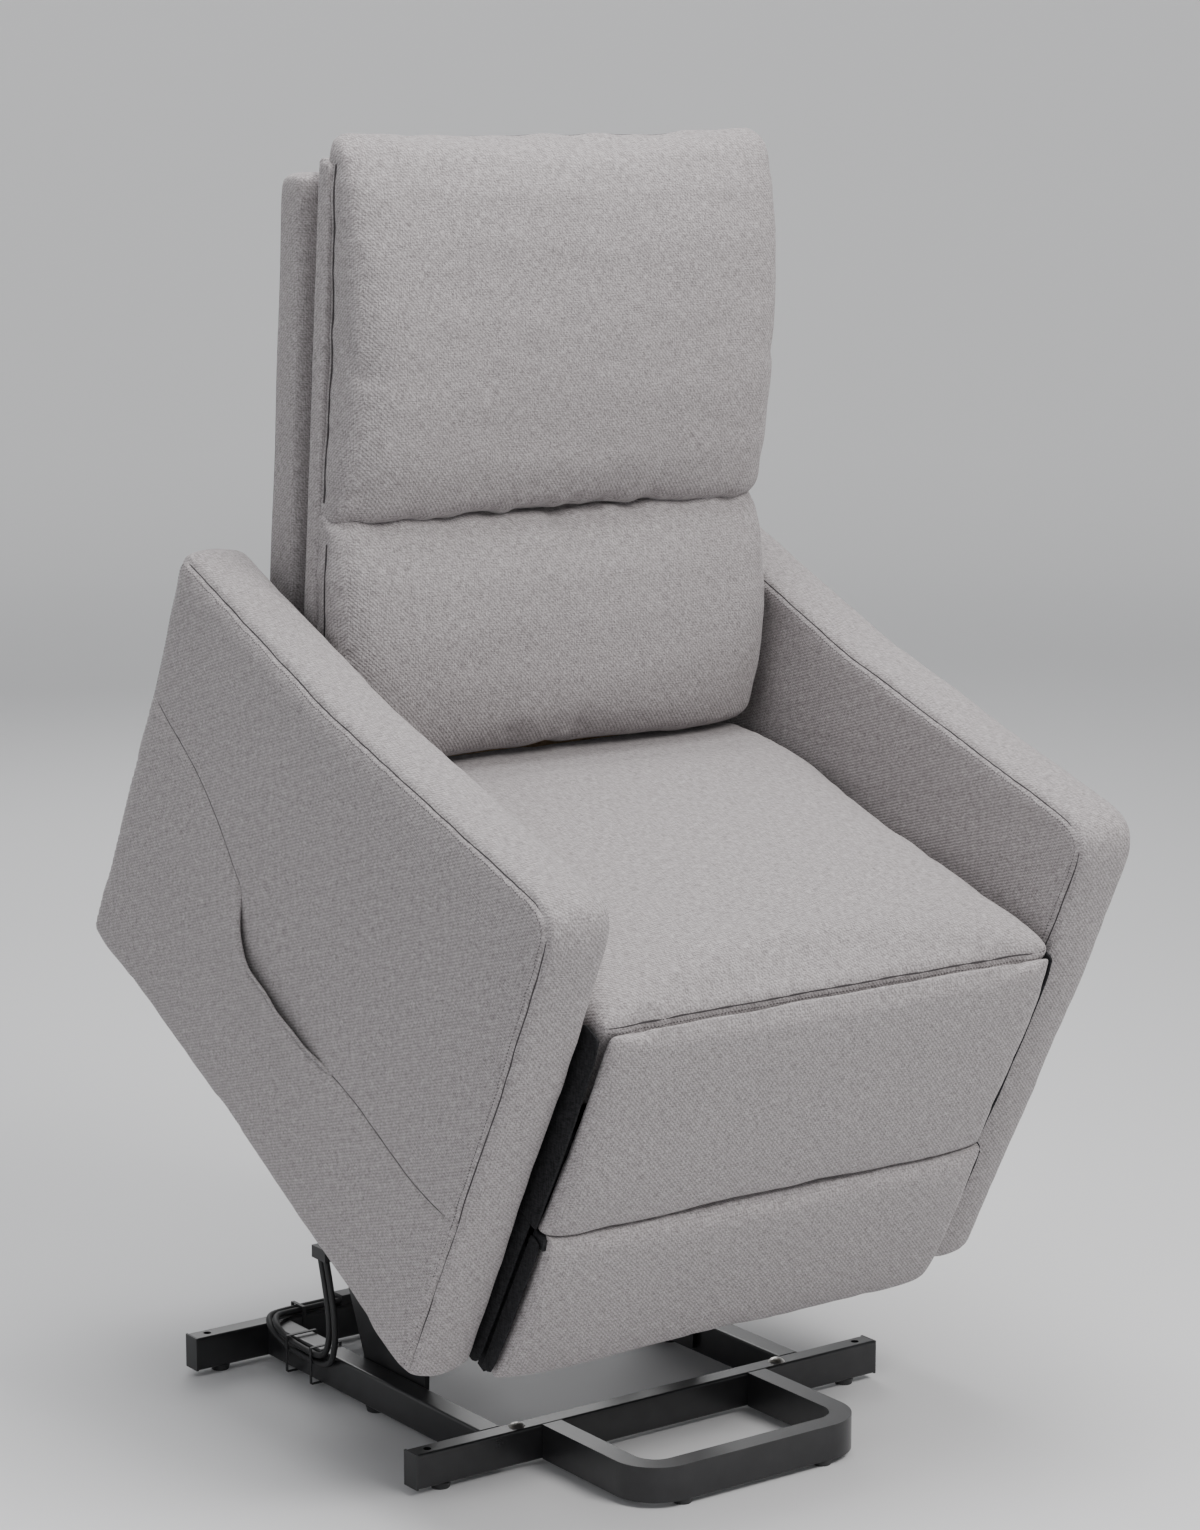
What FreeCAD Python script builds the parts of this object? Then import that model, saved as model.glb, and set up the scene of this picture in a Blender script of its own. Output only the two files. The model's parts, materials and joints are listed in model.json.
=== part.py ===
"""Power lift recliner chair, standing in its raised position.

The row frame has +Z up, +Y to the rear of the chair and +X to the sitter's left. The chair body has a frame of
its own, whose origin is the bottom front corner of the arms: y runs rearward and z up along the body, and the
body is tilted forward about X. The back has a second frame, tilted rearward from the chair body's.
"""
import FreeCAD, Part
import math
import os
from FreeCAD import Placement, Rotation, Vector

doc = FreeCAD.newDocument("lift_recliner")
sheet = doc.addObject("Spreadsheet::Sheet", "sizes")

# Driving dimensions in millimetres and degrees: alias, value, meaning
DRIVING = [
    ("lift_tilt", 28.6, "forward tilt of the raised chair body"),
    ("raised_y", -190.0, "arm bottom front corner, raised"),
    ("raised_z", 149.5, "arm bottom front corner, raised"),
    ("lowered_y", -287.0, "arm bottom front corner, lowered"),
    ("lowered_z", 56.0, "arm bottom front corner, lowered"),
    ("back_lean", 23.5, "rearward lean of the back in the chair body"),
    ("tube_height", 38.0, "height of the base tubes"),
    ("tube_wall", 2.0, "wall of the steel tubes"),
    ("glide_height", 7.0, "height of the floor glides"),
    ("rail_x", 199.6, "base side rail centre"),
    ("rail_width", 28.0, "base side rail width"),
    ("bar_depth", 24.0, "front and rear bar, front to back"),
    ("bar_length", 609.0, "front and rear bar length without caps"),
    ("front_bar_y", -101.75, "front bar centre"),
    ("rear_bar_y", 348.5, "rear bar centre"),
    ("loop_half_width", 137.0, "front loop tube centre from the middle"),
    ("loop_front_y", -282.0, "front loop tube centre at the front"),
    ("loop_bend", 38.0, "front loop bend radius on the centre line"),
    ("arm_pivot_y", 216.0, "lift arm pivot on the base"),
    ("arm_pivot_z", 187.0, "lift arm pivot on the base"),
    ("arm_pivot_height", 73.0, "lift arm pivot height in the chair body"),
    ("stay_pivot_y", 70.0, "lift stay pivot on the base"),
    ("stay_pivot_z", 212.0, "lift stay pivot on the base"),
    ("stay_pivot_height", 98.0, "lift stay pivot height in the chair body"),
    ("link_thickness", 6.5, "lift arm and stay plate"),
    ("plate_thickness", 6.0, "brackets and side plates"),
    ("footlink_thickness", 5.0, "footrest link plate"),
    ("pin_radius", 6.0, "lift pivot pins"),
    ("small_pin_radius", 5.0, "footrest pivot pins"),
    ("running_gap", 0.06, "radial gap of a pin in its hole"),
    ("motor_pivot_y", 322.0, "lift motor pivot on the base"),
    ("motor_pivot_z", 74.0, "lift motor pivot on the base"),
    ("drive_y", 290.0, "drive tube in the chair body"),
    ("drive_z", 190.0, "drive tube in the chair body"),
    ("drive_radius", 12.0, "drive tube radius"),
    ("width", 756.0, "overall width over the arms"),
    ("arm_thickness", 86.0, "arm with its pocket layer"),
    ("pocket_layer", 10.0, "outer layer that forms the side pocket"),
    ("pocket_flap", 4.0, "fabric flap of the side pocket"),
    ("frame_board", 20.0, "wooden arm frame thickness"),
    ("seat_width", 580.0, "seat between the arms"),
    ("back_width", 550.0, "back between the arms"),
    ("cushion_width", 544.0, "back cushions"),
    ("foot_width", 568.0, "footrest panel"),
    ("hinge_y", 590.0, "back hinge in the chair body"),
    ("hinge_z", 300.0, "back hinge in the chair body"),
    ("foot_pivot_y", 110.0, "footrest link pivot in the chair body"),
    ("foot_pivot_z", 190.0, "footrest link pivot in the chair body"),
    ("foot_link_length", 172.0, "footrest rear link"),
    ("foot_link_angle", -60.0, "rear link direction when closed"),
    ("board_pivot_y", 22.0, "footrest bracket pivot, closed"),
    ("board_pivot_z", 110.0, "footrest bracket pivot, closed"),
    ("crank_radius", 50.0, "recline crank"),
    ("cable_radius", 3.5, "motor lead radius"),
]
for row, (alias, value, meaning) in enumerate(DRIVING, start=1):
    sheet.set(f"A{row}", meaning)
    sheet.set(f"B{row}", str(value))
    sheet.setAlias(f"B{row}", alias)
doc.recompute()
size = {alias: float(sheet.get(alias)) for alias, value, meaning in DRIVING}

WORLD = Placement()
X_AXIS = Vector(1, 0, 0)
CHAIR = Placement(Vector(0, size["raised_y"], size["raised_z"]), Rotation(X_AXIS, size["lift_tilt"]))
BACK = CHAIR.multiply(Placement(Vector(), Rotation(X_AXIS, -size["back_lean"])))
SIDES = (("right", -1), ("left", 1))
nodes = []


# ---------------------------------------------------------------- building helpers

def keep(obj, name):
    """Label an object as one sub-part of the chair."""
    obj.Label = name
    nodes.append(obj)
    return obj


def shifted(frame, x=0.0, y=0.0, z=0.0):
    """The frame moved along its own axes."""
    return frame.multiply(Placement(Vector(x, y, z), Rotation()))


def side_x(side, inner, thickness):
    """Lowest x of a plate whose inner face is at distance inner from the middle."""
    return inner if side > 0 else -inner - thickness


def rounded(corners, radii):
    """Edges of a closed outline: straight sides with a tangent arc of the given radius at each corner."""
    count = len(corners)
    points = [Vector(first, second, 0) for first, second in corners]
    cuts = []
    for index, corner in enumerate(points):
        before = (points[index - 1] - corner).normalize()
        after = (points[(index + 1) % count] - corner).normalize()
        half = before.getAngle(after) / 2
        reach = radii[index] / math.tan(half)
        middle = corner + (before + after).normalize() * (radii[index] / math.sin(half) - radii[index])
        cuts.append((corner + before * reach, middle, corner + after * reach))
    edges = []
    for index, (start, middle, end) in enumerate(cuts):
        if radii[index] > 0:
            edges.append(Part.Arc(start, middle, end))
        following = cuts[(index + 1) % count][0]
        if (following - end).Length > 1e-6:
            edges.append(Part.LineSegment(end, following))
    return edges


def box_edges(low, high, radius=0.0):
    """A rectangle between two corners."""
    corners = [low, (high[0], low[1]), high, (low[0], high[1])]
    return rounded(corners, [radius] * 4)


def circle(centre, radius):
    """A round hole or disc."""
    return [Part.Circle(Vector(centre[0], centre[1], 0), Vector(0, 0, 1), radius)]


def stadium(start, end, radius):
    """A strip with round ends between two centres."""
    start, end = Vector(*start, 0), Vector(*end, 0)
    along = (end - start).normalize()
    across = Vector(-along.y, along.x, 0) * radius
    return [
        Part.LineSegment(start - across, end - across),
        Part.Arc(end - across, end + along * radius, end + across),
        Part.LineSegment(end + across, start + across),
        Part.Arc(start + across, start - along * radius, start - across),
    ]


def padded(name, plane, edges, length, placement):
    """A PartDesign body: one sketch on an origin plane, padded to a length taken from the sheet."""
    body = doc.addObject("PartDesign::Body", name)
    sketch = body.newObject("Sketcher::SketchObject", name + "_outline")
    support = [item for item in body.Origin.OriginFeatures if item.Role == plane][0]
    sketch.AttachmentSupport = (support, "")
    sketch.MapMode = "FlatFace"
    sketch.addGeometry(edges, False)
    pad = body.newObject("PartDesign::Pad", name + "_pad")
    pad.Profile = sketch
    pad.setExpression("Length", length)
    body.Tip = pad
    body.Placement = placement
    return body


def plate(name, edges, length, x_low, frame=WORLD):
    """A plate whose outline lies in the y-z plane of a frame and whose thickness runs along x."""
    return padded(name, "YZ_Plane", edges, length, shifted(frame, x_low))


def group(name, pieces):
    """Several separate solids in one node."""
    compound = doc.addObject("Part::Compound", name)
    compound.Links = pieces
    return keep(compound, name)


def fused(name, pieces):
    """Pieces welded or moulded into one."""
    fuse = doc.addObject("Part::MultiFuse", name)
    fuse.Shapes = pieces
    return fuse


def cut(name, base, tool):
    """The base piece with the tool taken away."""
    result = doc.addObject("Part::Cut", name)
    result.Base = base
    result.Tool = tool
    return result


def rod(name, radius, x_low, x_high, y, z, frame=WORLD):
    """A round rod along x; its radius is an expression."""
    cylinder = doc.addObject("Part::Cylinder", name)
    cylinder.setExpression("Radius", radius)
    cylinder.Height = x_high - x_low
    along_x = Placement(Vector(x_low, y, z), Rotation(Vector(0, 1, 0), 90))
    cylinder.Placement = frame.multiply(along_x)
    return cylinder


def block(name, low, high, frame=WORLD):
    """A box between two corners of a frame."""
    box = doc.addObject("Part::Box", name)
    box.Length, box.Width, box.Height = [top - bottom for bottom, top in zip(low, high)]
    box.Placement = shifted(frame, *low)
    return box


def square_tube(name, plane, low, high, length, placement):
    """A hollow rectangular tube: its section between two corners, padded along the plane's normal."""
    wall = size["tube_wall"]
    inner_low = (low[0] + wall, low[1] + wall)
    inner_high = (high[0] - wall, high[1] - wall)
    edges = box_edges(low, high, 3.0) + box_edges(inner_low, inner_high, 1.0)
    return padded(name, plane, edges, length, placement)


def turned(frame, centre, angle):
    """A frame at a centre in the y-z plane, whose y axis points along the given angle."""
    return shifted(frame, 0, *centre).multiply(Placement(Vector(), Rotation(X_AXIS, angle)))


def polar(centre, radius, angle):
    """The point at a radius and an angle in degrees from a centre."""
    turn = math.radians(angle)
    return (centre[0] + radius * math.cos(turn), centre[1] + radius * math.sin(turn))


def in_world(point):
    """A y-z point of the raised chair body, in the row frame."""
    moved = CHAIR.multVec(Vector(0, *point))
    return (moved.y, moved.z)


def bearing(start, end):
    """Distance and direction in degrees from one y-z point to another."""
    return math.dist(start, end), math.degrees(math.atan2(end[1] - start[1], end[0] - start[0]))


def chair_pivot(base_pivot, height):
    """The chair body's pivot at a height that is as far from the base pivot raised as lowered."""
    turn = math.radians(size["lift_tilt"])
    raised = (size["raised_y"] - base_pivot[0], size["raised_z"] - base_pivot[1])
    lowered = (size["lowered_y"] - base_pivot[0], size["lowered_z"] - base_pivot[1])
    turned_back = (
        raised[0] * math.cos(turn) + raised[1] * math.sin(turn),
        -raised[0] * math.sin(turn) + raised[1] * math.cos(turn),
    )
    weight_y = 2 * (turned_back[0] - lowered[0])
    weight_z = 2 * (turned_back[1] - lowered[1])
    excess = math.hypot(*lowered) ** 2 - math.hypot(*raised) ** 2
    return ((excess - weight_z * height) / weight_y, height)


# ---------------------------------------------------------------- pivots

arm_base = (size["arm_pivot_y"], size["arm_pivot_z"])
arm_top = chair_pivot(arm_base, size["arm_pivot_height"])
stay_base = (size["stay_pivot_y"], size["stay_pivot_z"])
stay_top = chair_pivot(stay_base, size["stay_pivot_height"])
motor_base = (size["motor_pivot_y"], size["motor_pivot_z"])
drive = (size["drive_y"], size["drive_z"])
hinge = (size["hinge_y"], size["hinge_z"])
foot_pivot = (size["foot_pivot_y"], size["foot_pivot_z"])
knee = polar(foot_pivot, size["foot_link_length"], size["foot_link_angle"])
control_pivot = (knee[0] + 3.6, knee[1] + 27.5)
board_pivot = (size["board_pivot_y"], size["board_pivot_z"])
board_control = (board_pivot[0] + 22, board_pivot[1] + 35)
recline_base = (640.0, 120.0)
crank_pin = polar(foot_pivot, size["crank_radius"], -30)
hole = size["pin_radius"] + size["running_gap"]
small_hole = size["small_pin_radius"] + size["running_gap"]

# Distances of the plates from the middle, inner faces
UPRIGHT_X = size["rail_x"] - size["rail_width"] / 2 - size["plate_thickness"]
LIFT_ARM_X = UPRIGHT_X - size["link_thickness"] - 0.5
STAY_X = UPRIGHT_X + size["plate_thickness"] + 0.5
LOWER_RAIL_X = 139.7
BRACKET_X = 163.7
SIDE_PLATE_X = 232.0
CONTROL_LINK_X = 239.5
REAR_LINK_X = 246.0
FRONT_LINK_X = 252.5
LIFT_MOTOR_X = -55.0
RECLINE_X = 64.0
tube_low, tube_top = size["glide_height"], size["glide_height"] + size["tube_height"]


# ---------------------------------------------------------------- floor base

def base_bar(name, centre_y, holes, bolts):
    """A cross bar of the base with holes through its top wall."""
    half = size["bar_depth"] / 2
    placement = Placement(Vector(-size["bar_length"] / 2, centre_y, 0), Rotation())
    tube = square_tube(name + "_tube", "YZ_Plane", (-half, tube_low), (half, tube_top), "sizes.bar_length",
                       placement)
    drills = []
    for index, (x, radius) in enumerate([(x, 4.5) for x in holes] + [(x, 4.1) for x in bolts]):
        drill = doc.addObject("Part::Cylinder", f"{name}_drill_{index}")
        drill.Radius = radius
        drill.Height = 8
        drill.Placement = Placement(Vector(x, centre_y, tube_top - 5), Rotation())
        drills.append(drill)
    return keep(cut(name, tube, fused(name + "_drills", drills)), name)


def base_tubes():
    """Side rails, cross bars and the bent front loop."""
    rail_start = size["front_bar_y"] + size["bar_depth"] / 2
    rail_length = "sizes.rear_bar_y - sizes.front_bar_y - sizes.bar_depth"
    half = size["rail_width"] / 2
    for label, side in SIDES:
        low, high = (-half, -tube_top), (half, -tube_low)
        placement = Placement(Vector(side * size["rail_x"], rail_start, 0), Rotation(X_AXIS, -90))
        rail = square_tube(f"base_rail_{label}", "XY_Plane", low, high, rail_length, placement)
        keep(rail, f"base_rail_{label}")
    base_bar("base_front_bar", size["front_bar_y"], (-286, 286), (-174, 174))
    base_bar("base_rear_bar", size["rear_bar_y"], (-286, 286), (150,))
    front_loop()


def front_loop():
    """The loop ahead of the front bar, a tube with two bends."""
    half, bend = size["loop_half_width"], size["loop_bend"]
    rear = size["front_bar_y"] - size["bar_depth"] / 2
    front = size["loop_front_y"]
    level = (tube_low + tube_top) / 2
    slant = bend * (1 - math.sqrt(0.5))

    def at(x, y):
        return Vector(x, y, level)

    path = Part.Wire([
        Part.LineSegment(at(-half, rear), at(-half, front + bend)).toShape(),
        Part.Arc(at(-half, front + bend), at(-half + slant, front + slant), at(-half + bend, front)).toShape(),
        Part.LineSegment(at(-half + bend, front), at(half - bend, front)).toShape(),
        Part.Arc(at(half - bend, front), at(half - slant, front + slant), at(half, front + bend)).toShape(),
        Part.LineSegment(at(half, front + bend), at(half, rear)).toShape(),
    ])

    def section(shrink):
        """The tube's section, in the plane of the front bar's face."""
        wide = size["bar_depth"] / 2 - shrink
        tall = size["tube_height"] / 2 - shrink
        corners = [(-half - wide, level - tall), (-half + wide, level - tall),
                   (-half + wide, level + tall), (-half - wide, level + tall)]
        points = [Vector(x, rear, z) for x, z in corners]
        return Part.makePolygon(points + points[:1])

    outer = path.makePipeShell([section(0)], True, False)
    inner = path.makePipeShell([section(size["tube_wall"])], True, False)
    loop = doc.addObject("Part::Feature", "base_front_loop")
    loop.Shape = outer.cut(inner)
    keep(loop, "base_front_loop")


def base_trim():
    """End caps, glides and the bolts on the cross bars."""
    caps, glides, bolts = [], [], []
    half = size["bar_depth"] / 2
    wall = size["tube_wall"] + 0.2
    end = size["bar_length"] / 2
    for bar_name, centre_y in (("front", size["front_bar_y"]), ("rear", size["rear_bar_y"])):
        for label, side in SIDES:
            name = f"{bar_name}_{label}_cap"
            head = block(name + "_head", (0, -half, tube_low), (2.5, half, tube_top))
            plug = block(name + "_plug", (-12, -half + wall, tube_low + wall), (0, half - wall, tube_top - wall))
            cap = fused(name, [head, plug])
            turn = 0 if side > 0 else 180
            cap.Placement = Placement(Vector(side * end, centre_y, 0), Rotation(Vector(0, 0, 1), turn))
            caps.append(cap)
            glides.append(glide(f"{bar_name}_{label}_glide", side * 270, centre_y, 11.5))
    for label, side in SIDES:
        glides.append(glide(f"loop_{label}_glide", side * 92, size["loop_front_y"], 11.5))
        glides.append(glide(f"rail_{label}_glide", side * size["rail_x"], 130, 13))
    for index, (x, centre_y) in enumerate([(-174, size["front_bar_y"]), (174, size["front_bar_y"]),
                                           (150, size["rear_bar_y"])]):
        bolts.append(round_bolt(f"base_bolt_{index}", x, centre_y))
    group("base_end_caps", caps)
    group("base_glides", glides)
    group("base_bolts", bolts)


def glide(name, x, y, radius):
    """A round plastic glide under a tube."""
    foot = doc.addObject("Part::Cone", name)
    foot.Radius1 = radius - 2
    foot.Radius2 = radius
    foot.setExpression("Height", "sizes.glide_height")
    foot.Placement = Placement(Vector(x, y, 0), Rotation())
    return foot


def round_bolt(name, x, y):
    """A low round bolt head with its shank through the top wall."""
    head = Part.makeSphere(12.0, Vector(x, y, tube_top - 7.5))
    head = head.common(Part.makeBox(30, 30, 10, Vector(x - 15, y - 15, tube_top)))
    shank = Part.makeCylinder(4.0, 8.0, Vector(x, y, tube_top - 8))
    bolt = doc.addObject("Part::Feature", name)
    bolt.Shape = head.fuse(shank).removeSplitter()
    return bolt


def base_brackets():
    """The upright plates with both lift pivots, and the lift motor's mount."""
    outline = rounded(
        [(58, 12), (178, 12), (178, 47), (239, 187), (222, 212), (196, 208), (143, 132), (92, 222), (74, 236),
         (52, 228), (46, 204)],
        [4, 4, 8, 16, 14, 14, 30, 14, 14, 14, 12])
    for label, side in SIDES:
        edges = outline + circle(arm_base, hole) + circle(stay_base, hole)
        x_low = side_x(side, UPRIGHT_X, size["plate_thickness"])
        keep(plate(f"lift_upright_{label}", edges, "sizes.plate_thickness", x_low), f"lift_upright_{label}")
    front = size["rear_bar_y"] - size["bar_depth"] / 2
    ear = rounded([(304, 14), (front, 14), (front, 62), (334, 90), (308, 90)], [3, 0, 0, 10, 10])
    ears = [plate(f"motor_mount_ear_{index}", ear + circle(motor_base, hole), "sizes.plate_thickness",
                  LIFT_MOTOR_X + offset) for index, offset in enumerate((-24.0, 18.0))]
    group("lift_motor_mount", ears)


def base_pins():
    """Pins of the lift arms, stays and lift motor, fixed in the base plates."""
    pins = []
    for label, side in SIDES:
        inner, outer = UPRIGHT_X, UPRIGHT_X + size["plate_thickness"]
        arm_pin = headed_pin(f"arm_pin_{label}", side, LIFT_ARM_X - 0.3, outer, arm_base, 3.0)
        stay_pin = headed_pin(f"stay_pin_{label}", side, inner, STAY_X + size["link_thickness"] + 0.3, stay_base,
                              3.0, heads="outer")
        pins += [arm_pin, stay_pin]
    pins.append(headed_pin("motor_pin", 1, LIFT_MOTOR_X - 24, LIFT_MOTOR_X + 24, motor_base, 3.0))
    group("base_pivot_pins", pins)


def headed_pin(name, side, inner, outer, centre, head, frame=WORLD, radius="pin_radius", heads="both"):
    """A pin along x on one side of the chair, with a flat head at each end or only at the outer one."""
    low, high = (inner, outer) if side > 0 else (-outer, -inner)
    shank = rod(name + "_shank", f"sizes.{radius}", low, high, *centre, frame)
    starts = [low - head, high]
    if heads == "outer":
        starts = starts[1:] if side > 0 else starts[:1]
    ends = [rod(f"{name}_head_{index}", f"sizes.{radius} + 3", first, first + head, *centre, frame)
            for index, first in enumerate(starts)]
    return fused(name, [shank] + ends)


# ---------------------------------------------------------------- motor leads

LEAD_ROUTES = {
    "motor_lead_outer": [
        (-112, 354, 50), (-150, 354.6, 49.6), (-186, 353, 49.8), (-210, 342, 52), (-221.5, 318, 46),
        (-219.4, 286, 33.5), (-218.4, 250, 31.4), (-219, 214, 31.4), (-220.4, 190, 40), (-221, 180, 66),
        (-220.5, 183, 100), (-219, 193, 131), (-216, 206, 156),
    ],
    "motor_lead_inner": [
        (-112, 345.5, 50), (-148, 345, 49.6), (-182, 343.6, 50.2), (-205, 333, 54), (-219.5, 311, 52.5),
        (-219.6, 284, 42.6), (-218.6, 250, 40), (-219, 218, 40.4), (-220.2, 200, 50), (-220.8, 192, 74),
        (-220, 196, 104), (-218.4, 206, 131), (-216, 217, 154),
    ],
}


def cord_tube(name, points):
    """A round lead along straight runs joined by tangent arcs."""
    route = [Vector(*point) for point in points]
    radius = size["cable_radius"]
    edges, radii, start = [], [], route[0]
    for index in range(1, len(route) - 1):
        corner = route[index]
        before, after = route[index - 1] - corner, route[index + 1] - corner
        turn = math.pi - before.getAngle(after)
        reach = 0.45 * min(before.Length, after.Length)
        bend = reach / math.tan(turn / 2)
        before.normalize()
        after.normalize()
        first, last = corner + before * reach, corner + after * reach
        middle = corner + (before + after).normalize() * (bend / math.cos(turn / 2) - bend)
        edges.append(Part.LineSegment(start, first).toShape())
        edges.append(Part.Arc(first, middle, last).toShape())
        radii.append(round(bend))
        start = last
    edges.append(Part.LineSegment(start, route[-1]).toShape())
    path = Part.Wire(edges)
    disc = Part.Wire([Part.makeCircle(radius, route[0], route[1] - route[0])])
    lead = doc.addObject("Part::Feature", name)
    lead.Shape = path.makePipeShell([disc], True, False)
    expected = math.pi * radius ** 2 * path.Length
    print(name, "bend radii", radii, "length", round(path.Length), "volume ratio",
          round(lead.Shape.Volume / expected, 4))
    return keep(lead, name)


def motor_leads():
    """Two leads tied to the base, their plug at the motor end and the coupler at the upright."""
    for name, points in LEAD_ROUTES.items():
        cord_tube(name, points)
    rear = size["rear_bar_y"]
    plug = block("motor_lead_plug", (-112, rear - 8, tube_top), (-84, rear + 11, tube_top + 12))
    coupler = block("upright_lead_plug", (-222, 198, 154), (-185.7, 226, 168))
    group("lead_plugs", [plug, coupler])
    half_bar, half_rail = size["bar_depth"] / 2, size["rail_width"] / 2
    ties = [tie("bar_tie", "YZ_Plane", (rear - half_bar, tube_low), (rear + half_bar, 54.6),
                Placement(Vector(-168, 0, 0), Rotation()))]
    for index, y in enumerate((277, 226)):
        low = (-223.4, -tube_top - 2.5)
        high = (-size["rail_x"] + half_rail, -tube_low)
        ties.append(tie(f"rail_tie_{index}", "XY_Plane", low, high,
                        Placement(Vector(0, y, 0), Rotation(X_AXIS, -90))))
    group("cable_ties", ties)


def tie(name, plane, low, high, placement):
    """A flat strap around a tube and the leads on it."""
    strap = 1.2
    outer = box_edges((low[0] - strap, low[1] - strap), (high[0] + strap, high[1] + strap), 1.5)
    return padded(name, plane, outer + box_edges(low, high), "4 mm", placement)


# ---------------------------------------------------------------- lift links and motor

def lift_links():
    """Arms and stays between the base and the chair body."""
    arm_end, stay_end = in_world(arm_top), in_world(stay_top)
    arm_edges = stadium(arm_base, arm_end, 16) + circle(arm_base, hole) + circle(arm_end, hole)
    stay_edges = stadium(stay_base, stay_end, 15) + circle(stay_base, hole) + circle(stay_end, hole + 0.9)
    for name, edges, inner in (("lift_arm", arm_edges, LIFT_ARM_X), ("lift_stay", stay_edges, STAY_X)):
        links = [plate(f"{name}_{label}", edges, "sizes.link_thickness",
                       side_x(side, inner, size["link_thickness"])) for label, side in SIDES]
        group(name + "s", links)


def linear_motor(name, x, base, target, frame, tube, shaft, eye, can_side):
    """A linear motor from a base pivot to a target: its housing with the outer tube, and its sliding rod.

    tube and shaft are the (start, end, radius) of the outer tube and of the rod along the axis. eye holds the edges
    of the plate at the rod's end and of the slot in it.
    """
    axis = turned(frame, base, bearing(base, target)[1])
    start, end, radius = tube
    shaft_start, shaft_end, shaft_radius = shaft
    gearbox_edges = rounded([(-18, -20), (34, -29), (76, -29), (76, 29), (34, 29), (-18, 20)], [14, 8, 4, 4, 8, 14])
    gearbox = plate(name + "_gearbox", gearbox_edges + circle((0, 0), hole), "35 mm", x - 17.5, axis)
    can_low, can_high = sorted((x + can_side * 17.5, x + can_side * 75))
    can = rod(name + "_can", "21 mm", can_low, can_high, 52, 0, axis)
    bore_radius = shaft_radius + 4
    shell = Part.makeCylinder(radius, end - start, Vector(x, start, 0), Vector(0, 1, 0))
    bore = Part.makeCylinder(bore_radius, end - start, Vector(x, start, 0), Vector(0, 1, 0))
    collar = Part.makeCylinder(radius + 3, 12, Vector(x, end - 12, 0), Vector(0, 1, 0))
    passage = Part.makeCylinder(shaft_radius + 0.4, 12, Vector(x, end - 12, 0), Vector(0, 1, 0))
    outer = doc.addObject("Part::Feature", name + "_outer")
    outer.Shape = shell.cut(bore).fuse(collar.cut(passage)).removeSplitter()
    outer.Placement = axis
    keep(fused(name + "_housing", [gearbox, can]), name + "_housing")
    keep(outer, name + "_tube")
    end_plate = plate(name + "_eye", eye, "8 mm", x - 4, axis)
    spindle = Part.makeCylinder(shaft_radius, shaft_end - shaft_start, Vector(x, shaft_start, 0), Vector(0, 1, 0))
    shaft_body = doc.addObject("Part::Feature", name + "_spindle")
    shaft_body.Shape = spindle
    shaft_body.Placement = axis
    keep(fused(name + "_rod", [shaft_body, end_plate]), name + "_rod")


def lift_motor():
    """The motor on the rear bar that pushes the drive tube."""
    length = bearing(motor_base, in_world(drive))[0]
    first, last = (length, 0), (length + 13.2, -7.4)
    linear_motor("lift_motor", LIFT_MOTOR_X, motor_base, in_world(drive), WORLD, (76, 330, 20),
                 (300, length - 20, 10), stadium(first, last, 21) + stadium(first, last, 12.8), -1)


def recline_motor():
    """The motor in the chair body that turns the footrest crank, and its mount on the rear cross tube."""
    length = bearing(recline_base, crank_pin)[0]
    eye = rounded([(length - 17, -10.5), (length + 14, -10.5), (length + 14, 37), (length - 17, 37)], [8, 8, 12, 12])
    slot = rounded([(length - 11, -6), (length + 8, -6), (length + 8, 31), (length - 11, 31)], [6] * 4)
    linear_motor("recline_motor", RECLINE_X, recline_base, crank_pin, CHAIR, (76, 380, 18),
                 (270, length - 12.5, 7), eye + slot, 1)
    ear = rounded([(620, 81), (664, 81), (654, 134), (626, 134)], [0, 0, 10, 10]) + circle(recline_base, hole)
    ears = [plate(f"recline_mount_ear_{index}", ear, "sizes.plate_thickness", RECLINE_X + offset, CHAIR)
            for index, offset in enumerate((-24.0, 18.0))]
    pin = headed_pin("recline_pin", 1, RECLINE_X - 24, RECLINE_X + 24, recline_base, 3.0, CHAIR)
    group("recline_motor_mount", ears + [pin])


# ---------------------------------------------------------------- chair body steel

def chair_rails():
    """Lower side rails, cross tubes and the drive tube."""
    rails = []
    for label, side in SIDES:
        centre = side * (LOWER_RAIL_X + 12)
        placement = shifted(CHAIR, centre, 30).multiply(Placement(Vector(), Rotation(X_AXIS, -90)))
        rails.append(square_tube(f"lower_rail_{label}", "XY_Plane", (-12, -56), (12, -16), "660 mm", placement))
    group("lower_rails", rails)
    cross = []
    reach = size["width"] / 2 - size["arm_thickness"] - 0.3
    for name, half, y, z in (("front_low", SIDE_PLATE_X, 60, 56), ("front_high", reach, 230, 272),
                             ("rear", reach, 640, 56)):
        cross.append(square_tube(name + "_cross_tube", "YZ_Plane", (y, z), (y + 25, z + 25), f"{2 * half} mm",
                                 shifted(CHAIR, -half)))
    group("chair_cross_tubes", cross)
    keep(rod("drive_tube", "sizes.drive_radius", -SIDE_PLATE_X, SIDE_PLATE_X, *drive, CHAIR), "drive_tube")


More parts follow.
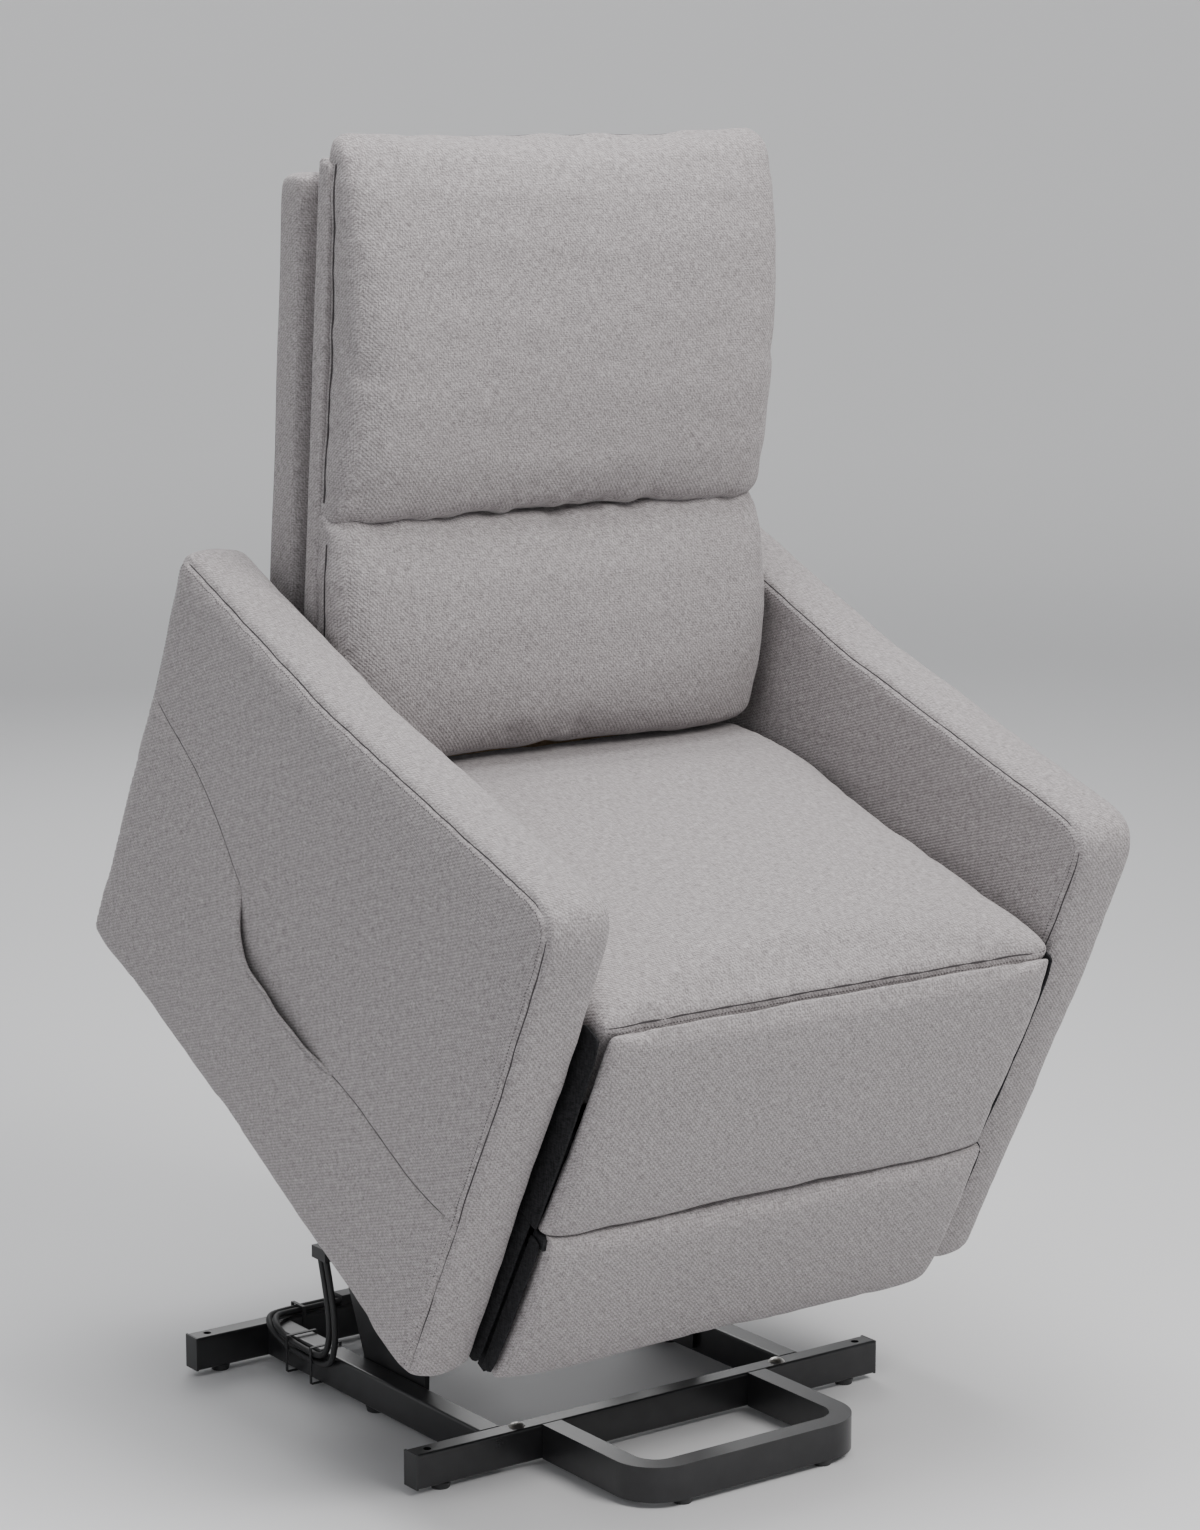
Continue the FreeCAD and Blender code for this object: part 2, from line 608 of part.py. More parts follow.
def chair_plates():
    """Mechanism side plates, and the brackets that carry the lift pivots."""
    outline = rounded(
        [(60, 48), (625, 48), (625, 81), (672, 81), (672, 140), (604, 205), (609, 322), (566, 322), (540, 272),
         (60, 272)],
        [8, 6, 0, 6, 20, 20, 18, 18, 20, 20])
    for label, side in SIDES:
        edges = outline + circle(foot_pivot, 10.2) + circle(hinge, hole)
        x_low = side_x(side, SIDE_PLATE_X, size["plate_thickness"])
        keep(plate(f"side_plate_{label}", edges, "sizes.plate_thickness", x_low, CHAIR), f"side_plate_{label}")
    bracket = rounded([(150, 18), (276, 18), (276, 60), (262, 94), (206, 120), (164, 118), (150, 86)],
                      [6, 6, 20, 16, 20, 16, 16])
    edges = bracket + circle(arm_top, hole) + circle(stay_top, hole)
    brackets = [plate(f"lift_bracket_{label}", edges, "sizes.plate_thickness",
                      side_x(side, BRACKET_X, size["plate_thickness"]), CHAIR) for label, side in SIDES]
    group("lift_brackets", brackets)


def chair_pins():
    """Pins of the lift arms and stays in the chair body, and of the back hinge."""
    pins = []
    for label, side in SIDES:
        pins.append(headed_pin(f"arm_top_pin_{label}", side, BRACKET_X, LIFT_ARM_X + size["link_thickness"] + 0.3,
                               arm_top, 2.5, CHAIR))
        pins.append(headed_pin(f"stay_top_pin_{label}", side, BRACKET_X,
                               STAY_X + size["link_thickness"] + 0.3, stay_top, 2.5, CHAIR))
        pins.append(headed_pin(f"hinge_pin_{label}", side, SIDE_PLATE_X - 7.2, SIDE_PLATE_X + 6, hinge, 2.5, CHAIR))
    group("chair_pivot_pins", pins)


# ---------------------------------------------------------------- arms

ARM_OUTLINE = ([(-7, 4), (14.2, 603), (440, 536), (756, 512), (742, 339), (731, 3), (400, 12)],
               [10, 42, 300, 13, 200, 3, 500])
POCKET_OUTLINE = ([(-6, 6), (6.5, 223), (247, 210), (472, 268), (540, 296), (740.5, 338), (729.5, 5), (400, 14)],
                  [8, 4, 30, 60, 60, 3, 6, 500])


def arms():
    """Padded arms on wooden frame boards, each with an outer layer that forms a side pocket."""
    outer = size["width"] / 2
    inner = outer - size["arm_thickness"]
    board_x = inner + 10
    boards = []
    for label, side in SIDES:
        boards.append(plate(f"arm_board_{label}", rounded([(45, 14), (690, 14), (690, 470), (45, 490)], [5] * 4),
                            "sizes.frame_board", side_x(side, board_x, size["frame_board"]), CHAIR))
        slot_edges = rounded([(45, -20), (690, -20), (690, 470), (45, 490)], [5] * 4)
        cavities = [plate(f"arm_slot_{label}", slot_edges, "sizes.frame_board",
                          side_x(side, board_x, size["frame_board"]), CHAIR)]
        if side > 0:
            recess = rounded([(118, 96), (186, 96), (186, 400), (118, 400)], [6] * 4)
            cavities.append(plate("handset_recess", recess, "20 mm", outer - size["pocket_layer"] - 20, CHAIR))
        solid = plate(f"arm_solid_{label}", rounded(*ARM_OUTLINE), "sizes.arm_thickness - sizes.pocket_layer",
                      side_x(side, inner, size["arm_thickness"] - size["pocket_layer"]), CHAIR)
        keep(cut(f"arm_pad_{label}", solid, fused(f"arm_cavities_{label}", cavities)
                 if len(cavities) > 1 else cavities[0]), f"arm_pad_{label}")
        side_pocket(label, side, outer)
    group("arm_boards", boards)


def side_pocket(label, side, outer):
    """The layer sewn to the arm's outer side; its top edge is open between front and rear."""
    layer = plate(f"pocket_layer_{label}", rounded(*POCKET_OUTLINE), "sizes.pocket_layer",
                  side_x(side, outer - size["pocket_layer"], size["pocket_layer"]), CHAIR)
    gap = size["pocket_layer"] - size["pocket_flap"]
    space = rounded([(102, 40), (462, 40), (462, 320), (102, 320)], [20, 20, 0, 0])
    hollow = plate(f"pocket_space_{label}", space, "sizes.pocket_layer - sizes.pocket_flap",
                   side_x(side, outer - size["pocket_layer"], gap), CHAIR)
    keep(cut(f"side_pocket_{label}", layer, hollow), f"side_pocket_{label}")


def handset():
    """The hand control in the left side pocket, with its raise and lower buttons."""
    outer = size["width"] / 2
    low_x = outer - size["pocket_layer"] - 19
    edges = rounded([(124, 98), (180, 98), (180, 256), (124, 256)], [14] * 4)
    shell = plate("handset_shell", edges, "22 mm", low_x, CHAIR)
    face = low_x + 22
    centres = {"raise_button": (152, 241), "lower_button": (152, 222)}
    wells = [rod(name + "_well", "7.2 mm", face - 4, face + 1, *centre, CHAIR) for name, centre in centres.items()]
    keep(cut("handset", shell, fused("handset_wells", wells)), "handset")
    for name, centre in centres.items():
        keep(rod(name, "7 mm", face - 2.2, face + 1.2, *centre, CHAIR), name)


# ---------------------------------------------------------------- seat

def seat():
    """Wooden frame, sinuous springs, front panel and cushion."""
    half = size["seat_width"] / 2 - 4
    corners = {
        "front_board": ((-half, -2, 216), (half, 22, 317)),
        "front_bar": ((-half, 22, 297), (half, 62, 317)),
        "rear_bar": ((-half, 510, 297), (half, 548, 317)),
        "right_bar": ((-half, 62, 297), (-half + 26, 510, 317)),
        "left_bar": ((half - 26, 62, 297), (half, 510, 317)),
    }
    group("seat_frame", [block("seat_" + name, *ends, CHAIR) for name, ends in corners.items()])
    springs = [sinuous_spring(f"seat_spring_{index}", -200 + 100 * index) for index in range(5)]
    group("seat_springs", springs)
    front = rounded([(-24, 211), (-2, 211), (-2, 322), (-22, 322)], [6, 0, 0, 0])
    half = size["seat_width"] / 2
    keep(plate("seat_front_panel", front, f"{2 * half - 8} mm", -half + 4, CHAIR), "seat_front_panel")
    cushion = rounded([(-22, 323), (-6, 478), (200, 464), (508, 396), (556, 356), (552, 324)],
                      [3, 24, 200, 16, 12, 6])
    keep(plate("seat_cushion", cushion, "sizes.seat_width", -half, CHAIR), "seat_cushion")


def sinuous_spring(name, x):
    """A zigzag wire spring that spans the seat frame."""
    wire_radius, bend, swing, start, loops = 2.0, 10.0, 12.0, 60.0, 12
    level = 317 + wire_radius
    edges = [Part.LineSegment(Vector(x, start - 20, level), Vector(x, start, level)).toShape()]
    y, side = start, 1
    edges.append(Part.Arc(Vector(x, y, level), Vector(x + bend * (1 - math.sqrt(0.5)), y + bend * math.sqrt(0.5),
                                                      level), Vector(x + bend, y + bend, level)).toShape())
    y += bend
    for turn_index in range(loops * 2 - 1):
        first = Vector(x + side * bend, y, level)
        last = Vector(x + side * (bend + swing), y, level)
        edges.append(Part.LineSegment(first, last).toShape())
        tip = Vector(last.x + side * bend, y + bend, level)
        after = Vector(last.x, y + 2 * bend, level)
        edges.append(Part.Arc(last, tip, after).toShape())
        side = -side
        y += 2 * bend
        edges.append(Part.LineSegment(after, Vector(x + side * bend, y, level)).toShape())
    edges.append(Part.LineSegment(Vector(x + side * bend, y, level), Vector(x + side * (bend + 6), y, level))
                 .toShape())
    path = Part.Wire(Part.__sortEdges__(edges))
    disc = Part.Wire([Part.makeCircle(wire_radius, Vector(x, start - 20, level), Vector(0, 1, 0))])
    spring = doc.addObject("Part::Feature", name)
    spring.Shape = path.makePipeShell([disc], True, False)
    spring.Placement = CHAIR
    return spring


def rear_valance():
    """The fabric panel between the arms behind the mechanism, and the control box."""
    half = size["seat_width"] / 2 - 2
    keep(block("rear_valance", (-half, 700, 20), (half, 716, 250), CHAIR), "rear_valance")
    keep(block("control_box", (-LOWER_RAIL_X, 300, 20), (-92, 430, 54), CHAIR), "control_box")


# ---------------------------------------------------------------- back

def back():
    """Frame, outside panel, hinge brackets and the two cushions, in the back's own frame."""
    corners = {
        "right_stile": ((-225.5, 436, 470), (-185, 466, 1110)),
        "left_stile": ((185, 436, 470), (225.5, 466, 1110)),
        "lower_rail": ((-185, 436, 470), (185, 466, 540)),
        "middle_rail": ((-185, 436, 800), (185, 466, 840)),
        "upper_rail": ((-185, 436, 1070), (185, 466, 1110)),
    }
    group("back_frame", [block("back_" + name, *ends, BACK) for name, ends in corners.items()])
    half = size["back_width"] / 2
    shell = plate("back_shell", rounded([(430, 562), (484, 562), (484, 1150), (470, 1157), (430, 1157)],
                                        [4, 10, 20, 10, 10]), "sizes.back_width", -half, BACK)
    recess = block("back_recess", (-232.2, 429, 550), (232.2, 466.1, 1111), BACK)
    keep(cut("back_panel", shell, recess), "back_panel")
    hinge_local = BACK.inverse().multVec(CHAIR.multVec(Vector(0, *hinge)))
    centre = (hinge_local.y, hinge_local.z)
    bracket = rounded([(centre[0] - 15, centre[1] - 15), (centre[0] + 16, centre[1] - 15), (465.5, 528),
                       (465.5, 640), (440, 640), (432, 575), (432, 554), (centre[0] - 15, centre[1] + 18)],
                      [12, 12, 8, 4, 4, 10, 6, 12]) + circle(centre, hole)
    brackets = [plate(f"back_bracket_{label}", bracket, "sizes.plate_thickness", side_x(side, 225.6, 6), BACK)
                for label, side in SIDES]
    group("back_brackets", brackets)
    back_cushions()


def back_cushions():
    """Two closed crowned solids, one above the other."""
    half = size["cushion_width"] / 2
    lower = rounded([(429.5, 566), (322, 566), (303, 680), (345, 798), (429.5, 802)], [4, 18, 160, 14, 4])
    upper = rounded([(429.5, 804), (350, 800), (300, 930), (348, 1200), (410, 1202), (429.5, 1160)],
                    [4, 14, 200, 30, 20, 6])
    for name, edges in (("back_cushion_lower", lower), ("back_cushion_upper", upper)):
        keep(plate(name, edges, "sizes.cushion_width", -half, BACK), name)


# ---------------------------------------------------------------- footrest

def footrest():
    """Panel, board and brackets, with the links that carry them."""
    half = size["foot_width"] / 2
    pad = rounded([(-6, 8), (-27, 8), (-37, 40), (-36, 180), (-29, 207), (-10, 207), (-6, 186)],
                  [2, 8, 30, 20, 6, 4, 2])
    keep(plate("footrest_pad", pad, "sizes.foot_width", -half, CHAIR), "footrest_pad")
    keep(block("footrest_board", (-half + 2, -6, 10), (half - 2, 6, 178), CHAIR), "footrest_board")
    outline = rounded([(6, 78), (30, 92), (63, 127), (63, 158), (46, 164), (6, 150)], [0, 10, 14, 10, 10, 0])
    edges = outline + circle(board_pivot, small_hole) + circle(board_control, size["small_pin_radius"] + 3.4)
    brackets = [plate(f"footrest_bracket_{label}", edges, "sizes.footlink_thickness",
                      side_x(side, REAR_LINK_X, 5), CHAIR) for label, side in SIDES]
    pins = [headed_pin(f"footrest_pin_{label}", side, REAR_LINK_X, FRONT_LINK_X + 5.3, board_pivot, 0.9, CHAIR,
                       "small_pin_radius") for label, side in SIDES]
    group("footrest_brackets", brackets + pins)
    footrest_links()


def footrest_links():
    """Rear, front and control links on both sides, with the torque tube and its crank."""
    rear_edges = rounded([(foot_pivot[0] - 16, foot_pivot[1] - 4), (foot_pivot[0] - 2, foot_pivot[1] + 17),
                          (foot_pivot[0] + 16, foot_pivot[1] + 2), (control_pivot[0] + 14, control_pivot[1] + 6),
                          (knee[0] + 14, knee[1] - 8), (knee[0] - 8, knee[1] - 13)], [12, 12, 12, 10, 10, 10])
    thickness = "sizes.footlink_thickness"
    for label, side in SIDES:
        edges = rear_edges + circle(foot_pivot, 10.0)
        link = plate(f"rear_link_plate_{label}", edges, thickness, side_x(side, REAR_LINK_X, 5), CHAIR)
        low, high = (REAR_LINK_X, FRONT_LINK_X + 5.3) if side > 0 else (-FRONT_LINK_X - 5.3, -REAR_LINK_X)
        knee_pin = rod(f"knee_pin_{label}", "sizes.small_pin_radius", low, high, *knee, CHAIR)
        low, high = (CONTROL_LINK_X - 0.3, REAR_LINK_X) if side > 0 else (-REAR_LINK_X, -CONTROL_LINK_X + 0.3)
        control_pin = rod(f"control_pin_{label}", "sizes.small_pin_radius", low, high, *control_pivot, CHAIR)
        keep(fused(f"footrest_rear_link_{label}", [link, knee_pin, control_pin]), f"footrest_rear_link_{label}")
    tube = rod("torque_bar", "10 mm", -REAR_LINK_X - 5, REAR_LINK_X + 5, *foot_pivot, CHAIR)
    crank = plate("crank_arm", stadium(foot_pivot, crank_pin, 9), "7.5 mm", RECLINE_X - 15, CHAIR)
    pin = rod("crank_pin", "5 mm", RECLINE_X - 8, RECLINE_X + 4.5, *crank_pin, CHAIR)
    keep(fused("footrest_torque_tube", [tube, crank, pin]), "footrest_torque_tube")
    front_links, control_links = [], []
    for label, side in SIDES:
        edges = stadium(knee, board_pivot, 10) + circle(knee, small_hole) + circle(board_pivot, small_hole)
        front_links.append(plate(f"front_link_{label}", edges, thickness, side_x(side, FRONT_LINK_X, 5), CHAIR))
        edges = stadium(control_pivot, board_control, 9) + circle(control_pivot, small_hole)
        link = plate(f"control_link_plate_{label}", edges, thickness, side_x(side, CONTROL_LINK_X, 5), CHAIR)
        low, high = (CONTROL_LINK_X, REAR_LINK_X + 5) if side > 0 else (-REAR_LINK_X - 5, -CONTROL_LINK_X)
        end_pin = rod(f"board_control_pin_{label}", "sizes.small_pin_radius", low, high, *board_control, CHAIR)
        control_links.append(fused(f"control_link_{label}", [link, end_pin]))
    group("footrest_front_links", front_links)
    group("footrest_control_links", control_links)


# ---------------------------------------------------------------- build and write

def write_parts():
    """Check every object, then write each sub-part's shape."""
    doc.recompute()
    for obj in doc.Objects:
        if "Invalid" in obj.State or "Error" in obj.State:
            raise RuntimeError(f"{obj.Name} did not build: {obj.State}")
    for obj in nodes:
        if obj.Shape.isNull() or not obj.Shape.isValid():
            raise RuntimeError(f"{obj.Label} has no valid shape")
    os.makedirs("parts", exist_ok=True)
    for obj in nodes:
        obj.Shape.exportStep(f"parts/{obj.Label}.step")
    print(len(nodes), "sub-parts written")


base_tubes()
base_trim()
base_brackets()
base_pins()
motor_leads()
lift_links()
lift_motor()
chair_rails()
chair_plates()
chair_pins()
recline_motor()
arms()
handset()
seat()
rear_valance()
back()
footrest()
write_parts()
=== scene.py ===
"""Looks of the power lift recliner: sewn covers, steel base, leads, studio light and camera."""
import json
import math
import bpy
import bmesh
import numpy as np
from mathutils import Matrix, Vector, geometry
from mathutils.bvhtree import BVHTree
from mathutils.kdtree import KDTree


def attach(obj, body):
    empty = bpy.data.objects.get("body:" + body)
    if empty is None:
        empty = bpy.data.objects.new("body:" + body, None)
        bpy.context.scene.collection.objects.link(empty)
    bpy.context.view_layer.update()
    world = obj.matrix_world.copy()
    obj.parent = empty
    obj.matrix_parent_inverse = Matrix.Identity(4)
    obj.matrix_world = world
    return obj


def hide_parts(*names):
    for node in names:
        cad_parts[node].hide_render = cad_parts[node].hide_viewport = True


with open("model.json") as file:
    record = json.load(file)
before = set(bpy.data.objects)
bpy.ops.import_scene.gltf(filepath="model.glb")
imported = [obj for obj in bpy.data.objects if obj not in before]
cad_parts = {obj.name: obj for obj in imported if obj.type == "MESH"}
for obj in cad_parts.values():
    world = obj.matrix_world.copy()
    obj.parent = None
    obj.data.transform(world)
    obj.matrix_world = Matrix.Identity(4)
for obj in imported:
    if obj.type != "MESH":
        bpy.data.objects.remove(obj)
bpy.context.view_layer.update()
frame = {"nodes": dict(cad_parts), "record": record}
scene = bpy.context.scene

# The chair body is tilted forward in the row frame, and the back leans rearward in the chair body.
CHAIR = Matrix.Translation((0, -0.190, 0.1495)) @ Matrix.Rotation(math.radians(28.6), 4, "X")
BACK_LEAN = math.radians(23.5)
BACK = CHAIR @ Matrix.Rotation(-BACK_LEAN, 4, "X")
SIDES = (("right", -1), ("left", 1))


# ---------------------------------------------------------------- camera, light and floor

def add_camera():
    """A long lens from the front right of the chair, a little above it."""
    data = bpy.data.cameras.new("camera")
    data.sensor_fit = "VERTICAL"
    data.sensor_width = 36
    data.sensor_height = 36
    data.lens = 89.5
    data.clip_end = 50
    camera = bpy.data.objects.new("camera", data)
    azimuth, pitch = math.radians(-35.9), math.radians(-10.4)
    camera.location = (-2.3311, -3.2311, 1.4475)
    camera.rotation_euler = (math.pi / 2 + pitch, 0, azimuth)
    scene.collection.objects.link(camera)
    scene.camera = camera


def add_light(name, location, target, size, power, colour=(1, 1, 1)):
    data = bpy.data.lights.new(name, "AREA")
    data.shape = "RECTANGLE"
    data.size, data.size_y = size
    data.energy = power
    data.color = colour
    light = bpy.data.objects.new(name, data)
    light.location = location
    light.rotation_euler = (Vector(target) - Vector(location)).to_track_quat("-Z", "Y").to_euler()
    scene.collection.objects.link(light)


def stage_material():
    """Matt pale grey that glows a little far out, so that the surround stays pale beyond the lights' reach."""
    m = Nodes("stage_floor")
    where = m.node("ShaderNodeNewGeometry").outputs["Position"]
    flat = m.scaled(where, (1, 1, 0))
    distance = m.node("ShaderNodeVectorMath", operation="LENGTH")
    m.link(flat, distance.inputs[0])
    outward = m.node("ShaderNodeMapRange", {"From Min": 2.6, "From Max": 8.0, "To Min": 0.0, "To Max": 0.27})
    m.link(distance.outputs["Value"], outward.inputs["Value"])
    m.link(outward.outputs["Result"], m.shader.inputs["Emission Strength"])
    m.shader.inputs["Emission Color"].default_value = (1, 1, 1, 1)
    m.shader.inputs["Base Color"].default_value = (0.66, 0.66, 0.67, 1)
    m.shader.inputs["Roughness"].default_value = 0.75
    return m.material


def add_stage():
    """A round pale floor whose rim curves up all the way round, and soft light from the front left and above."""
    flat_radius, rim, around = 7.0, 2.2, 72
    profile = [(0.5, 0.0), (3.0, 0.0), (flat_radius, 0.0)]
    profile += [(flat_radius + rim * math.sin(a), rim * (1 - math.cos(a))) for a in np.radians(range(9, 91, 9))]
    profile += [(flat_radius + rim, 4.0)]
    turns = [2 * math.pi * k / around for k in range(around)]
    points = [(r * math.cos(a), r * math.sin(a), z) for r, z in profile for a in turns]
    faces = [tuple(range(around))]
    for row in range(len(profile) - 1):
        for k in range(around):
            n = (k + 1) % around
            faces.append((row * around + k, (row + 1) * around + k, (row + 1) * around + n, row * around + n))
    floor = mesh_object("stage_floor", points, faces)
    floor.data.materials.append(stage_material())
    add_light("key", (0.9, -3.2, 3.9), (0, -0.1, 0.6), (1.9, 1.9), 178, (1, 0.985, 0.965))
    add_light("fill", (-4.2, -1.6, 2.3), (0, 0, 0.6), (2.6, 2.6), 36, (0.96, 0.98, 1))
    add_light("top", (-0.2, -0.2, 4.2), (0, -0.1, 0.5), (2.2, 2.2), 148)
    add_light("rear", (1.5, 3.4, 2.6), (0, 0, 0.7), (2.4, 2.0), 48)
    world = bpy.data.worlds.new("studio")
    world.use_nodes = True
    world.node_tree.nodes["Background"].inputs["Color"].default_value = (0.85, 0.88, 0.92, 1)
    world.node_tree.nodes["Background"].inputs["Strength"].default_value = 0.20
    scene.world = world


# ---------------------------------------------------------------- materials

class Nodes:
    """Short calls for building a node material."""

    def __init__(self, name):
        self.material = bpy.data.materials.new(name)
        self.material.use_nodes = True
        self.tree = self.material.node_tree
        self.shader = self.tree.nodes["Principled BSDF"]

    def node(self, kind, values=None, **settings):
        made = self.tree.nodes.new(kind)
        for key, value in settings.items():
            setattr(made, key, value)
        for key, value in (values or {}).items():
            made.inputs[key].default_value = value
        return made

    def link(self, output, target):
        self.tree.links.new(output, target)

    def math(self, operation, first, second=None):
        made = self.node("ShaderNodeMath", operation=operation)
        for index, value in enumerate((first, second)):
            if value is None:
                continue
            if isinstance(value, (int, float)):
                made.inputs[index].default_value = value
            else:
                self.link(value, made.inputs[index])
        return made.outputs[0]

    def noise(self, vector, scale, detail=2.0, roughness=0.5):
        made = self.node("ShaderNodeTexNoise", {"Scale": scale, "Detail": detail, "Roughness": roughness})
        self.link(vector, made.inputs["Vector"])
        return made.outputs["Fac"]

    def scaled(self, vector, scale, turn=0.0):
        made = self.node("ShaderNodeMapping", {"Scale": scale, "Rotation": (0, 0, turn)})
        self.link(vector, made.inputs["Vector"])
        return made.outputs["Vector"]

    def ramp(self, value, stops):
        made = self.node("ShaderNodeValToRGB")
        elements = made.color_ramp.elements
        while len(elements) < len(stops):
            elements.new(0.5)
        for element, (place, colour) in zip(elements, stops):
            element.position = place
            element.color = (*colour, 1)
        self.link(value, made.inputs["Fac"])
        return made.outputs["Color"]

    def bump(self, height, strength, distance, normal=None):
        made = self.node("ShaderNodeBump", {"Strength": strength, "Distance": distance})
        self.link(height, made.inputs["Height"])
        if normal is not None:
            self.link(normal, made.inputs["Normal"])
        return made.outputs["Normal"]


def weave_material(name, dark, mid, light):
    """A heathered weave with a fine slanted rib: slubby threads both ways, small knots, soft sheen."""
    m = Nodes(name)
    uv = m.node("ShaderNodeUVMap", uv_map="weave").outputs["UV"]
    warp = m.noise(m.scaled(uv, (1, 0.13, 1)), 760, 2.0, 0.6)
    weft = m.noise(m.scaled(uv, (0.13, 1, 1)), 760, 2.0, 0.6)
    speck = m.noise(uv, 900, 1.0, 0.6)
    patch = m.noise(uv, 4.0, 3.0)
    separate = m.node("ShaderNodeSeparateXYZ")
    m.link(uv, separate.inputs[0])
    slant = m.math("ADD", separate.outputs[0], separate.outputs[1])
    wander = m.math("MULTIPLY", m.noise(uv, 90, 2.0), 0.0016)
    rib = m.math("SINE", m.math("MULTIPLY", m.math("ADD", slant, wander), 2 * math.pi / 0.0044))
    slubs = m.math("ADD", m.math("MULTIPLY", warp, 0.36), m.math("MULTIPLY", weft, 0.36))
    heather = m.math("ADD", slubs, m.math("MULTIPLY", speck, 0.28))
    ribbed = m.math("ADD", heather, m.math("MULTIPLY", rib, 0.034))
    shade = m.math("ADD", ribbed, m.math("MULTIPLY", m.math("SUBTRACT", patch, 0.5), 0.020))
    m.link(m.ramp(shade, [(0.38, dark), (0.50, mid), (0.62, light)]), m.shader.inputs["Base Color"])
    height = m.math("ADD", m.math("MULTIPLY", rib, 0.22), m.math("MULTIPLY", heather, 1.5))
    soft = m.bump(m.noise(uv, 24, 3.0), 0.14, 0.006)
    m.link(m.bump(height, 0.5, 0.0011, soft), m.shader.inputs["Normal"])
    m.link(m.math("ADD", 0.84, m.math("MULTIPLY", heather, 0.14)), m.shader.inputs["Roughness"])
    m.shader.inputs["Specular IOR Level"].default_value = 0.18
    m.shader.inputs["Sheen Weight"].default_value = 0.16
    m.shader.inputs["Sheen Roughness"].default_value = 0.45
    m.shader.inputs["Sheen Tint"].default_value = (0.9, 0.88, 0.88, 1)
    return m.material


def lining_material():
    """Thin black dust cloth with a faint open weave."""
    m = Nodes("black_lining")
    where = m.node("ShaderNodeTexCoord").outputs["Object"]
    threads = m.math("ADD", m.math("MULTIPLY", m.noise(m.scaled(where, (1, 0.2, 1)), 700, 2.0), 0.5),
                     m.math("MULTIPLY", m.noise(m.scaled(where, (0.2, 1, 0.2)), 700, 2.0), 0.5))
    m.link(m.ramp(threads, [(0.38, (0.006, 0.006, 0.007)), (0.62, (0.022, 0.022, 0.024))]),
           m.shader.inputs["Base Color"])
    m.link(m.bump(threads, 0.4, 0.0008), m.shader.inputs["Normal"])
    m.shader.inputs["Roughness"].default_value = 0.9
    m.shader.inputs["Specular IOR Level"].default_value = 0.2
    return m.material


def hard_material(name, colour, roughness, metallic=0.0, grain=320.0, grit=0.10, painted_edge_highlight=None, coat=0.0):
    """Paint, plastic or bare metal: fine grain in the gloss, a slight mottle and, when given, a painted highlight
    that makes the sharp edges lighter.
    """
    m = Nodes(name)
    where = m.node("ShaderNodeTexCoord").outputs["Object"]
    fine = m.noise(where, grain, 2.0)
    broad = m.noise(where, 14.0, 4.0)
    spread = m.math("ADD", m.math("MULTIPLY", broad, 0.75), m.math("MULTIPLY", fine, 0.25))
    low = tuple(c * 0.84 for c in colour)
    high = tuple(min(1.0, c * 1.14 + 0.002) for c in colour)
    base = m.ramp(spread, [(0.36, low), (0.66, high)])
    if painted_edge_highlight:
        # Painted highlight: sharp edges (high pointiness) get a lighter colour, as if they caught the light.
        bevel = m.node("ShaderNodeNewGeometry").outputs["Pointiness"]
        edge = m.math("MULTIPLY", m.math("SUBTRACT", bevel, 0.53), 9.0)
        edge_highlight_mask = m.math("MULTIPLY", edge, m.noise(where, 60.0, 3.0))
        blend = m.node("ShaderNodeMix", data_type="RGBA")
        blend.clamp_factor = True
        m.link(edge_highlight_mask, blend.inputs[0])
        m.link(base, blend.inputs[6])
        blend.inputs[7].default_value = (*painted_edge_highlight, 1)
        base = blend.outputs[2]
    m.link(base, m.shader.inputs["Base Color"])
    m.link(m.math("ADD", roughness - grit / 2, m.math("MULTIPLY", spread, grit)), m.shader.inputs["Roughness"])
    m.link(m.bump(fine, 0.12, 0.0004), m.shader.inputs["Normal"])
    m.shader.inputs["Metallic"].default_value = metallic
    m.shader.inputs["Coat Weight"].default_value = coat
    m.shader.inputs["Coat Roughness"].default_value = 0.25
    return m.material


def wood_material():
    """Pale plywood with long grain along Y."""
    m = Nodes("plywood")
    where = m.node("ShaderNodeTexCoord").outputs["Object"]
    grain = m.noise(m.scaled(where, (26, 1.4, 26)), 5.0, 5.0, 0.6)
    pores = m.noise(m.scaled(where, (200, 9, 200)), 3.0, 2.0)
    both = m.math("ADD", m.math("MULTIPLY", grain, 0.7), m.math("MULTIPLY", pores, 0.3))
    m.link(m.ramp(both, [(0.3, (0.30, 0.19, 0.10)), (0.5, (0.50, 0.36, 0.21)), (0.7, (0.62, 0.48, 0.31))]),
           m.shader.inputs["Base Color"])
    m.link(m.bump(both, 0.3, 0.0008), m.shader.inputs["Normal"])
    m.shader.inputs["Roughness"].default_value = 0.62
    return m.material


